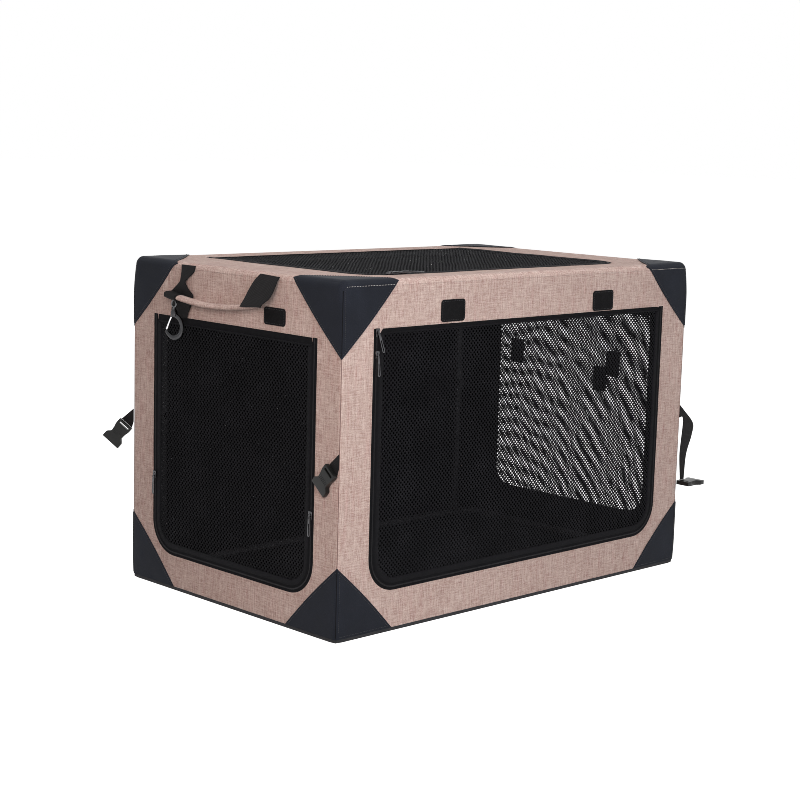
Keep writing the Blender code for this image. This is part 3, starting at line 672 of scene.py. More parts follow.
EYE_STEEL = Metal("eye_steel", (0.12, 0.12, 0.125), 0.24)
HOOK_ZINC = Metal("hook_zinc", (0.055, 0.055, 0.058), 0.26)
BRIGHT = Metal("gate_steel", (0.80, 0.80, 0.81), 0.16, 1.0, 0.15)
PILE = Fuzz("loop_pile")
PALE_THREAD = Thread("pale_thread", (0.62, 0.60, 0.58))
PINK_THREAD = Thread("pink_thread", (0.50, 0.37, 0.33))
DARK_THREAD = Thread("dark_thread", (0.026, 0.027, 0.031))


# ---------------------------------------------------------------------------
# Shapes
# ---------------------------------------------------------------------------


class Outline:
    """A closed flat outline with round corners, walked by its length from its lower left."""

    run_on: float = 0.03

    def __init__(self, low: tuple[float, float], high: tuple[float, float], foot: float, head: float) -> None:
        """Sets the outline out.

        Args:
            low: its lower left corner.
            high: its upper right corner.
            foot: the radius of the two lower corners.
            head: the radius of the two upper corners.
        """
        (x0, y0), (x1, y1) = low, high
        corners = (
            (x0 + foot, y0 + foot, foot, pi),
            (x1 - foot, y0 + foot, foot, 1.5 * pi),
            (x1 - head, y1 - head, head, 0.0),
            (x0 + head, y1 - head, head, 0.5 * pi),
        )
        self.marks = []
        for number, (cx, cy, radius, start) in enumerate(corners):
            for step in range(ARC_STEPS + 1):
                turn = start + step / ARC_STEPS * pi / 2
                normal = Vector((cos(turn), sin(turn)))
                square = max(abs(normal.x), abs(normal.y)) if number > 1 else 1.0
                self.marks.append((Vector((cx, cy)) + normal * radius, normal / square))
        self.marks.append(self.marks[0])
        self.ends = [0.0]
        for (before, _), (after, _) in zip(self.marks, self.marks[1:]):
            self.ends.append(self.ends[-1] + (after - before).length)
        self.length = self.ends[-1]
        self.middle = Vector(((x0 + x1) / 2, (y0 + y1) / 2))

    def at(self, share: float, grow: float = 0.0) -> Vector:
        """The point a share of the way round, moved outwards by grow; the upper corners stay square."""
        distance = (share % 1.0) * self.length
        k = next(i for i in range(len(self.ends) - 1) if distance <= self.ends[i + 1])
        span = self.ends[k + 1] - self.ends[k]
        part = (distance - self.ends[k]) / span if span > 0 else 0.0
        point = self.marks[k][0].lerp(self.marks[k + 1][0], part)
        return point + self.marks[k][1].lerp(self.marks[k + 1][1], part) * grow

    def sewn(self, share: float, grow: float, keep: float, lap: float = 0.0) -> Vector:
        """The point a share of the way round, moved outwards, but less along the sewn upper side.

        Args:
            share: the share of the way round.
            grow: how far outwards it moves on the other three sides.
            keep: the part of that move that is left along the upper side.
            lap: how far it then moves up along the upper side.

        Returns:
            The point.
        """
        point = self.at(share)
        move = self.at(share, 1.0) - point
        rise = max(move.y, 0.0)
        up = move.y * grow * (1.0 - (1.0 - keep) * rise) + lap * rise
        return Vector((point.x + move.x * grow, point.y + up))

    def three_sides(self, share: float, grow: float, lap: float) -> Vector:
        """The point a share of the way down the left side, along the foot and up the right side.

        Args:
            share: the share of the way.
            grow: how far outwards the point is moved.
            lap: how far both ends run on past the upper corners.

        Returns:
            The point.
        """
        arc = ARC_STEPS + 1
        first, last = self.ends[4 * arc - 1] - self.length, self.ends[2 * arc]
        point = self.at((first + (last - first) * share) / self.length, grow)
        left = min(share, 1.0 - share) * (last - first)
        rise = self.marks[2 * arc + ARC_STEPS // 2][0].y - self.marks[2 * arc][0].y + lap
        return Vector((point.x, point.y + rise * (1.0 - fade(left, 0.0, self.run_on))))


def mesh_of(bm: bmesh.types.BMesh, name: str = "in_work") -> bpy.types.Mesh:
    """A mesh made from a bmesh, which is freed."""
    mesh = bpy.data.meshes.new(name)
    bm.to_mesh(mesh)
    bm.free()
    return mesh


def linked(name: str, data: bpy.types.ID) -> bpy.types.Object:
    """A new object in the scene."""
    made = bpy.data.objects.new(name, data)
    bpy.context.scene.collection.objects.link(made)
    return made


def evaluated(blank: bpy.types.Object) -> bpy.types.Mesh:
    """An object's mesh, after its modifiers."""
    return bpy.data.meshes.new_from_object(blank.evaluated_get(bpy.context.evaluated_depsgraph_get()))


def thickened(blank: bpy.types.Object, thickness: float, even: bool = False) -> None:
    """Gives a sheet its thickness, inwards."""
    solid = blank.modifiers.new("Thickness", "SOLIDIFY")
    solid.thickness, solid.offset, solid.use_even_offset = thickness, -1.0, even


def joined(bm: bmesh.types.BMesh, *others: bmesh.types.BMesh) -> bmesh.types.BMesh:
    """Adds other meshes to the first, and frees them."""
    for other in others:
        mesh = mesh_of(other)
        bm.from_mesh(mesh)
        bpy.data.meshes.remove(mesh)
    return bm


def mapped_grid(
    columns: int, rows: int, place: Place, span: tuple[float, float] = (1.0, 1.0)
) -> bmesh.types.BMesh:
    """A grid laid on a surface.

    Args:
        columns: its cells along U.
        rows: its cells along V.
        place: gives the point at U and V, each from 0 to 1.
        span: its size in metres along U and V, for its cloth coordinates.

    Returns:
        The grid as a bmesh.
    """
    bm = bmesh.new()
    bmesh.ops.create_grid(bm, x_segments=columns, y_segments=rows, size=0.5)
    layer = bm.loops.layers.uv.new(CLOTH_UV)
    for bface in bm.faces:
        for loop in bface.loops:
            co = loop.vert.co
            loop[layer].uv = ((co.x + 0.5) * span[0], (co.y + 0.5) * span[1])
    for vert in bm.verts:
        vert.co = place(min(max(vert.co.x + 0.5, 0.0), 1.0), min(max(vert.co.y + 0.5, 0.0), 1.0))
    return bm


def closed_up(bm: bmesh.types.BMesh, cap: bool = True) -> bmesh.types.BMesh:
    """Merges a mesh's seams, caps its open ends and turns its faces outwards."""
    bmesh.ops.remove_doubles(bm, verts=bm.verts, dist=WELD)
    if cap:
        rims = [edge for edge in bm.edges if edge.is_boundary]
        if rims:
            bmesh.ops.holes_fill(bm, edges=rims, sides=0)
    bmesh.ops.recalc_face_normals(bm, faces=bm.faces)
    return bm


def oval(half_width: float, half_height: float, count: int, power: float = 2.0) -> list[tuple[float, float]]:
    """The points of an oval, or of a rounder or squarer one at another power."""
    points = []
    for k in range(count):
        c, s = cos(tau * k / count), sin(tau * k / count)
        swell = (abs(c) ** power + abs(s) ** power) ** (-1 / power)
        points.append((half_width * c * swell, half_height * s * swell))
    return points


def spline_point(points: Sequence[Vector], share: float) -> Vector:
    """The point a share of the way along a smooth line through points."""
    spans = len(points) - 1
    at = min(max(share, 0.0), 1.0) * spans
    k = min(int(at), spans - 1)
    t = at - k
    one, two = points[k], points[k + 1]
    zero = points[k - 1] if k > 0 else one * 2 - two
    three = points[k + 2] if k + 2 <= spans else two * 2 - one
    square = zero * 2 - one * 5 + two * 4 - three
    cube = one * 3 - zero - two * 3 + three
    return (one * 2 + (two - zero) * t + square * t * t + cube * t * t * t) * 0.5


def ribbon(sections: Sequence[tuple[Vector, Vector]], thickness: float, steps: int) -> bmesh.types.BMesh:
    """A strip of webbing with rounded edges.

    Args:
        sections: pairs of edge points along it; it lies on the side that run x across points to.
        thickness: its thickness.
        steps: its cells along its length.

    Returns:
        The closed strip.
    """
    firsts = [Vector(pair[0]) for pair in sections]
    seconds = [Vector(pair[1]) for pair in sections]
    profile = [(0.5 + a, 0.5 + b) for a, b in oval(0.5, 0.5, RIBBON_SIDES, RIBBON_POWER)]
    length = sum((b - a).length for a, b in zip(firsts, firsts[1:]))
    width, nudge = (seconds[0] - firsts[0]).length, 0.004

    def place(u: float, v: float) -> Vector:
        """The point on the strip's skin."""
        first, second = spline_point(firsts, u), spline_point(seconds, u)
        ahead = spline_point(firsts, u + nudge) + spline_point(seconds, u + nudge)
        behind = spline_point(firsts, u - nudge) + spline_point(seconds, u - nudge)
        normal = (ahead - behind).cross(second - first).normalized()
        across, lift = profile[round(v * RIBBON_SIDES) % RIBBON_SIDES]
        return first.lerp(second, across) + normal * (lift * thickness)

    return closed_up(mapped_grid(steps, RIBBON_SIDES, place, (length, width * 2)))


def rod(
    points: Sequence[Vector],
    sizes: Sequence[tuple[float, float]],
    side: Vector,
    steps: int,
    sides: int = 16,
    closed: bool = False,
) -> bmesh.types.BMesh:
    """A rod whose thickness changes along a bent line in one plane.

    Args:
        points: the line; a closed one ends where it starts.
        sizes: half widths in the plane and across it, one at each of some even stations.
        side: the plane's normal.
        steps: cells along it.
        sides: cells round it.
        closed: whether it joins up with itself.

    Returns:
        The closed rod.
    """
    widths = [Vector((a, b, 0.0)) for a, b in sizes]
    length = sum((Vector(b) - Vector(a)).length for a, b in zip(points, points[1:]))

    def place(u: float, v: float) -> Vector:
        """The point on the rod's skin."""
        nudge = 0.5 / steps
        if closed:
            run = spline_point(points, (u + nudge) % 1.0) - spline_point(points, (u - nudge) % 1.0)
            if u < nudge or u > 1 - nudge:
                run = Vector(points[1]) - Vector(points[-2])
        else:
            run = spline_point(points, u + nudge) - spline_point(points, u - nudge)
        flat = run.cross(side).normalized()
        size = spline_point(widths, u) if len(widths) > 1 else widths[0]
        turn = tau * (v % 1.0)
        return spline_point(points, u) + flat * (size.x * cos(turn)) + side * (size.y * sin(turn))

    return closed_up(mapped_grid(steps, sides, place, (length, tau * sizes[0][0])), not closed)


def plate(loops: Sequence[Sequence[tuple[float, float]]], thickness: float) -> bmesh.types.BMesh:
    """A flat plate from z = 0 to z = thickness; its first loop is its rim and the rest are holes."""
    bm = bmesh.new()
    edges = []
    for loop in loops:
        ring = [bm.verts.new((x, y, 0.0)) for x, y in loop]
        edges += [bm.edges.new(pair) for pair in zip(ring, ring[1:] + ring[:1])]
    bmesh.ops.triangle_fill(bm, use_beauty=True, edges=edges, normal=(0.0, 0.0, 1.0))
    bmesh.ops.dissolve_limit(bm, angle_limit=0.01, verts=bm.verts, edges=bm.edges)
    made = bmesh.ops.extrude_face_region(bm, geom=bm.faces[:])
    raised = [item for item in made["geom"] if isinstance(item, bmesh.types.BMVert)]
    bmesh.ops.translate(bm, verts=raised, vec=(0.0, 0.0, thickness))
    bmesh.ops.recalc_face_normals(bm, faces=bm.faces)
    return bm


def stadium(length: float, half_width: float, lift: float = 0.0, steps: int = 8) -> list[tuple[float, float]]:
    """A long round-ended loop hanging from y = -lift, counted downwards."""
    points = []
    for centre, start in ((-lift - half_width, 0.0), (-length + half_width, pi)):
        for step in range(steps + 1):
            turn = start + pi * step / steps
            points.append((half_width * cos(turn), centre + half_width * sin(turn)))
    return points


def soften(bm: bmesh.types.BMesh, width: float, segments: int = 2, sharper: float = radians(35)) -> None:
    """Bevels the edges of a mesh that turn by more than an angle."""
    edges = [e for e in bm.edges if e.is_manifold and e.calc_face_angle(0.0) > sharper]
    rounding = {"profile": 0.5, "affect": "EDGES", "clamp_overlap": True, "material": -1}
    bmesh.ops.bevel(bm, geom=edges, offset=width, segments=segments, **rounding)


def flat_coordinates(mesh: bpy.types.Mesh) -> None:
    """Gives a mesh cloth coordinates in metres, each face seen along its main direction."""
    layer = mesh.uv_layers.get(CLOTH_UV) or mesh.uv_layers.new(name=CLOTH_UV)
    for polygon in mesh.polygons:
        normal = [abs(c) for c in polygon.normal]
        drop = normal.index(max(normal))
        first, second = ((1, 2), (0, 2), (0, 1))[drop]
        for index in polygon.loop_indices:
            co = mesh.vertices[mesh.loops[index].vertex_index].co
            layer.data[index].uv = (co[first], co[second])


# ---------------------------------------------------------------------------
# Sub-assemblies
# ---------------------------------------------------------------------------


@dataclass
class Assembly:
    """What every sub-assembly can do: add a piece to the scene and hide the CAD nodes that it stands for."""

    def add(
        self,
        name: str,
        shape: Union[bmesh.types.BMesh, bpy.types.Mesh],
        finishes: Sequence[Finish],
        body: str,
        stands_for: Sequence[str] = (),
        slot: Optional[str] = None,
        crumple: Crumple = Crumple.NONE,
        sharp: float = radians(38),
    ) -> bpy.types.Object:
        """Adds a finished piece.

        Args:
            name: the piece's name.
            shape: its mesh, in place.
            finishes: its finishes, in the order of its material numbers.
            body: the CAD body that it rides on.
            stands_for: the CAD nodes that it replaces.
            slot: the record's material slot; not used.
            crumple: which way it should flatten as the crate folds; here it only decides whether the piece gets
                its own copy of its mesh.
            sharp: the angle from which an edge is shaded sharp.

        Returns:
            The piece.
        """
        mesh = mesh_of(shape, name) if isinstance(shape, bmesh.types.BMesh) else shape
        mesh.name = name
        mesh.materials.clear()
        for finish in finishes:
            mesh.materials.append(finish.material())
        if not mesh.uv_layers.get(CLOTH_UV):
            flat_coordinates(mesh)
        mesh.shade_smooth()
        mesh.set_sharp_from_angle(angle=sharp)
        piece = linked(name, mesh)
        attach(piece, body)
        if stands_for:
            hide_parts(*stands_for)
        if crumple is Crumple.TO_BASE:
            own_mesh(piece)
        elif crumple is Crumple.TO_ROOF:
            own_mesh(piece)
        LOG.info("%s: %d faces", name, len(mesh.polygons))
        return piece

    @staticmethod
    def worked(bm: bmesh.types.BMesh, *steps: Callable[[bpy.types.Object], None]) -> bpy.types.Mesh:
        """Puts a mesh through modifiers and returns the result.

        Args:
            bm: the mesh, which is freed.
            steps: functions that each give the object a modifier.

        Returns:
            The mesh with its modifiers applied.
        """
        blank = linked("in_work", mesh_of(bm))
        for step in steps:
            step(blank)
        bpy.context.view_layer.update()
        made = evaluated(blank)
        bpy.data.objects.remove(blank, do_unlink=True)
        return made


@dataclass
class Doorway:
    """The opening that a door fills in one face, in that face's own axes."""

    side: Side
    low: tuple[float, float]
    high: tuple[float, float]
    foot_radius: float = 0.050
    head_radius: float = 0.0015
    sewn_rise: float = 0.0105
    rim: float = 0.004

    def outline(self, grow: float = 0.0) -> Outline:
        """The doorway's outline, grown by a distance."""
        (x0, y0), (x1, y1) = self.low, self.high
        foot = self.foot_radius + grow
        return Outline((x0 - grow, y0 - grow), (x1 + grow, y1 + grow), foot, self.head_radius)

    def near(self, face: Face, point: Vector) -> bool:
        """Whether a point of the face is in the doorway or on its rim."""
        u, v = point.dot(face.across), point.dot(face.up)
        (x0, y0), (x1, y1), rim = self.low, self.high, self.rim
        return x0 - rim < u < x1 + rim and y0 - rim < v < y1 + self.sewn_rise + rim


@dataclass
class Panel:
    """The slack of one panel of the cover, which sinks slightly between its seams."""

    side: Side
    low: tuple[float, float]
    high: tuple[float, float]
    slack: float = 0.0016
    held: float = 0.024
    seed: float = 0.0
    tuck: float = 0.0
    wave_scale: float = 9.0
    ripple_scale: float = 26.0
    ripple_share: float = 0.3

    def sink(self, u: float, v: float) -> float:
        """How far the cloth lies behind its flat plane at a point."""
        (x0, y0), (x1, y1) = self.low, self.high
        rim = min(u - x0, x1 - u, v - y0, y1 - v)
        wide, fine = self.wave_scale, self.ripple_scale
        wave = noise.noise(Vector((u * wide, v * wide, self.seed))) * 0.5 + 0.5
        ripple = noise.noise(Vector((u * fine, v * fine, self.seed + 7.0))) * 0.5 + 0.5
        share = (1.0 - self.ripple_share) * wave + self.ripple_share * ripple
        slack = self.slack * share * fade(rim, self.held * 0.4, self.held * 1.7)
        return slack + self.tuck * fade(v, y1 - ROOF_FLAP, y1 - ROOF_FLAP * 0.35)


@dataclass
class Sewing(Assembly):
    """Runs of stitches."""

    pitch: float = 0.0042
    length: float = 0.0030
    radius: float = 0.00042

    def run(
        self,
        name: str,
        spots: Sequence[Stitch],
        finish: Finish,
        body: str,
        crumple: Crumple = Crumple.NONE,
    ) -> bpy.types.Object:
        """Sews a run of stitches.

        Args:
            name: the piece's name.
            spots: each stitch's middle, direction and outward normal.
            finish: its thread.
            body: the CAD body that it rides on.
            crumple: which way it should flatten as the crate folds; add only uses it to give the run its own copy
                of its mesh.

        Returns:
            The run, as one piece.
        """
        bm = bmesh.new()
        for middle, along, out in spots:
            across = along.cross(out).normalized()
            frame = Matrix((along.normalized(), across, out.normalized())).transposed().to_4x4()
            frame.translation = middle
            size = Matrix.Diagonal((self.length / 2, self.radius, self.radius, 1.0))
            bmesh.ops.create_icosphere(bm, subdivisions=1, radius=1.0, matrix=frame @ size)
        return self.add(name, bm, [finish], body, crumple=crumple, sharp=SOFT_SHARP)

    def curve(self, path: Callable[[float], Vector], length: float, out: Vector) -> list[Stitch]:
        """Stitches along a line given by a share of its length."""
        count = max(2, int(length / self.pitch))
        spots = []
        for k in range(count):
            share = (k + 0.5) / count
            nudge = 0.25 / count
            spots.append((path(share), path(share + nudge) - path(share - nudge), out))
        return spots


@dataclass
class CoverPanel(Assembly):
    """One panel of the sewn cover, cut out for its door and lined in black."""

    name: str
    panel: Panel
    node: str
    body: str
    crumple: Crumple
    doorway: Optional[Doorway] = None
    thickness: float = 0.0016
    cell: float = 0.007
    flap: float = 0.0
    outside: Finish = LINEN
    inside: Finish = LINING
    slot: str = "pink_linen"
    rests_on: tuple[str, ...] = ("base_frame", "top_frame")
    held: str = "stretched"
    cutter_steps: int = 160
    cutter_depth: float = 0.04
    least_cloth: float = 0.301

    def build(self) -> bpy.types.Object:
        face = FACES[self.panel.side]
        (x0, y0), (x1, y1) = self.panel.low, self.panel.high
        x0, y0, x1, y1 = x0 - self.flap, y0 - self.flap, x1 + self.flap, y1 + self.flap
        width, height = x1 - x0, y1 - y0

        def place(u: float, v: float) -> Vector:
            """The point on the panel's outer skin."""
            x, y = x0 + width * self._crowded(u, width), y0 + height * self._crowded(v, height)
            return SKIN.settle(face.at(x, y), -self.panel.sink(x, y))

        bm = mapped_grid(round(width / self.cell), round(height / self.cell), place)
        steps = [lambda blank: thickened(blank, self.thickness)]
        if self.doorway:
            cutter = self._cutter(face)
            steps.append(lambda blank: self._cut(blank, cutter))
        mesh = self.worked(bm, *steps)
        if self.doorway:
            bpy.data.objects.remove(cutter, do_unlink=True)
        flat_coordinates(mesh)
        numbers = []
        for polygon in mesh.polygons:
            facing = polygon.normal.dot(face.outward)
            rim = abs(facing) < 0.5 and self.doorway and self.doorway.near(face, polygon.center)
            numbers.append(1 if facing < -0.5 or rim else 0)
        finishes = [self.outside, self.inside]
        piece = self.add(self.name, mesh, finishes, self.body, [self.node], self.slot, self.crumple)
        piece.data.polygons.foreach_set("material_index", numbers)
        area = width * height
        if self.doorway:
            (a, b), (c, d) = self.doorway.low, self.doorway.high
            area -= (c - a) * (d - b) - CORNER_LOSS * self.doorway.foot_radius**2
        area = max(area, self.least_cloth * width * height)
        list(self.rests_on)
        return piece

    @staticmethod
    def _crowded(share: float, span: float, rim: float = 0.030) -> float:
        """A share of the span, with the cells drawn in towards both of its ends."""
        edge = rim / span
        cells = 3.0 * edge
        if share < cells:
            return edge * share / cells
        if share > 1 - cells:
            return 1 - edge * (1 - share) / cells
        return edge + (1 - 2 * edge) * (share - cells) / (1 - 2 * cells)

    def _cutter(self, face: Face) -> bpy.types.Object:
        """A solid that fills the doorway."""
        outline, count = self.doorway.outline(SEAT), self.cutter_steps
        loop = [tuple(outline.sewn(k / count, 0.0, 1.0, self.doorway.sewn_rise)) for k in range(count)]
        bm = plate([loop], self.cutter_depth)
        bmesh.ops.transform(bm, matrix=face.matrix(0.0, 0.0, -self.cutter_depth / 2), verts=bm.verts)
        return linked("doorway_cutter", mesh_of(bm))

    @staticmethod
    def _cut(blank: bpy.types.Object, cutter: bpy.types.Object) -> None:
        """Cuts the doorway."""
        cut = blank.modifiers.new("Doorway", "BOOLEAN")
        cut.operation, cut.object, cut.solver = "DIFFERENCE", cutter, "EXACT"


@dataclass
class FloorPanel(CoverPanel):
    """The flat panel laid in the foot of the crate."""

    cells: tuple[int, int] = (60, 40)

    def build(self) -> bpy.types.Object:
        (x0, y0), (x1, y1) = self.panel.low, self.panel.high
        width, depth = x1 - x0, y1 - y0

        def place(u: float, v: float) -> Vector:
            """The point on the floor's upper side."""
            flat = SKIN.settle(Vector((x0 + u * width, y0 + v * depth, 0.0)))
            return Vector((flat.x, flat.y, self.thickness))

        mesh = self.worked(mapped_grid(*self.cells, place), lambda blank: thickened(blank, self.thickness))
        flat_coordinates(mesh)
        piece = self.add(self.name, mesh, [self.outside], self.body, [self.node], self.slot, self.crumple)
        list(self.rests_on)
        return piece


@dataclass
class NetDoor(Assembly):
    """A netted door with its bound edge, and the zip sewn to the cover round three of its sides."""

    name: str
    doorway: Doorway
    panel: Panel
    body: str
    frame_body: str
    crumple: Crumple
    binding_width: float = 0.0105
    binding_rise: float = 0.0030
    net_wave: float = 0.0012
    coil_half: tuple[float, float] = (0.0013, 0.0008)
    netting: Finish = NETTING
    sewn_share: float = 0.3
    sewn_lap: float = 0.0010
    head_lap: float = 0.0030
    tape_lap: float = 0.0010
    strip_cell: float = 0.006
    binding_lift: float = 0.0006
    net_inset: float = 0.6
    net_cell: float = 0.012
    net_rings: int = 26
    stitch_gap: float = 0.0022

    def build(self) -> list[bpy.types.Object]:
        """Builds the net, its bound edge, the zip and the stitching."""
        binding = self._binding()
        net = self._net(binding)
        return [net, binding, *self._zip()]

    def _strip(
        self, walk: Callable[[float, float], Vector], lift: float, profile: Sequence[tuple[float, float]]
    ) -> bmesh.types.BMesh:
        """A strip of one cross-section along the doorway's edge.

        Args:
            walk: the point at a share of the way, moved outwards by a distance.
            lift: how far in front of the cloth its middle lies.
            profile: its cross-section, outwards and out.

        Returns:
            The closed strip.
        """
        face, outline = FACES[self.doorway.side], self.doorway.outline()
        count = len(profile)

        def place(u: float, v: float) -> Vector:
            """The point on the strip's skin."""
            across, out = profile[round(v * count) % count]
            x, y = walk(u, across)
            return face.at(x, y, lift + out - self.panel.sink(x, y))

        steps = round(outline.length / self.strip_cell)
        return closed_up(mapped_grid(steps, count, place, (outline.length, 0.02)))

    def _binding(self) -> bpy.types.Object:
        """The black tape that binds the net's edge."""
        half = self.binding_width / 2
        profile = oval(half, self.binding_rise / 2, 14, 2.6)
        outline = self.doorway.outline()

        def walk(share: float, across: float) -> Vector:
            """The point beside the doorway's edge."""
            return outline.sewn(share, across - half - SEAT, self.sewn_share)

        bm = self._strip(walk, self.binding_lift - DOOR_THICKNESS / 2, profile)
        name = f"{self.name}_binding"
        return self.add(name, bm, [BINDING], self.body, (), "black_mesh", self.crumple, TAPE_SHARP)

    def _net(self, binding: bpy.types.Object) -> bpy.types.Object:
        """The sheet of netting inside the binding."""
        face, outline = FACES[self.doorway.side], self.doorway.outline()
        inset = self.binding_width * self.net_inset

        def place(u: float, v: float) -> Vector:
            """The point on the net, from its middle outwards."""
            edge = outline.sewn(u, -inset, self.sewn_share)
            x, y = outline.middle.lerp(edge, v)
            wave = noise.noise(Vector((x * 7.0, y * 7.0, 3.0 + self.panel.seed))) * fade(1.0 - v, 0.0, 0.25)
            return face.at(x, y, -DOOR_THICKNESS / 2 + self.net_wave * wave)

        bm = mapped_grid(round(outline.length / self.net_cell), self.net_rings, place)
        bmesh.ops.remove_doubles(bm, verts=bm.verts, dist=WELD)
        for bface in bm.faces:
            if bface.normal.dot(face.outward) < 0:
                bface.normal_flip()
        name, slot = f"{self.name}_net", "black_mesh"
        mesh = mesh_of(bm, name)
        flat_coordinates(mesh)
        net = self.add(name, mesh, [self.netting], self.body, [self.name], slot, self.crumple, SOFT_SHARP)
        (a, b), (c, d) = self.doorway.low, self.doorway.high
        size = (c - a - 2 * inset, d - b - (1.0 + self.sewn_share) * inset)
        area = size[0] * size[1] - CORNER_LOSS * (self.doorway.foot_radius - inset) ** 2
        return net

    def _zip(self) -> list[bpy.types.Object]:
        """The zip's tape and coil, the strip along the sewn side and the stitches outside them."""
        half, rise = ZIP_BAND / 2 - SEAT, self.doorway.sewn_rise
        walk, ends = self.doorway.outline().three_sides, rise + self.sewn_lap
        inner = -half - self.tape_lap
        tape_profile = [(inner, -0.0003), (inner, 0.00018), (-half * 0.3, 0.00024), (half * 0.4, 0.00024)]
        tape_profile += [(half * 0.9, 0.00022), (half, -0.0003)]
        tape = self._strip(lambda share, across: walk(share, across + half + SEAT, ends), 0.0, tape_profile)
        coil_profile = oval(*self.coil_half, 8)
        coil = self._strip(lambda share, across: walk(share, across + SLIDER_OFFSET, ends), 0.0004, coil_profile)
        (left, _), (right, head) = self.doorway.low, self.doorway.high
        start = Vector((left - 2 * half, head + (rise - self.head_lap) / 2))
        run = Vector((right - left + 4 * half, 0.0))
        strip_profile = oval((rise + self.head_lap) / 2 + self.sewn_lap, 0.0003, 12, 6.0)
        strip = self._strip(
            lambda share, across: start + run * share + Vector((0.0, across)), -0.0007, strip_profile
        )
        made = []
        parts = (("zip_tape", tape, ZIP_TAPE), ("zip_coil", coil, COIL), ("head_tape", strip, ZIP_TAPE))
        for part, bm, finish in parts:
            name = f"{self.name}_{part}"
            made.append(self.add(name, bm, [finish], self.frame_body, (), "black_webbing", self.crumple))
        return [*made, self._topstitch()]

    def _topstitch(self) -> bpy.types.Object:
        """The stitches that hold the zip's tape to the cloth."""
        face, outline = FACES[self.doorway.side], self.doorway.outline()
        sewing, gap = Sewing(), self.stitch_gap

        def path(share: float) -> Vector:
            """The row's line on the cloth."""
            x, y = outline.sewn(share, ZIP_BAND + gap, 0.0, self.doorway.sewn_rise + gap)
            return face.at(x, y, 0.0001 - self.panel.sink(x, y))

        spots = sewing.curve(path, outline.length, face.outward)
        return sewing.run(f"{self.name}_topstitch", spots, PINK_THREAD, self.frame_body, self.crumple)


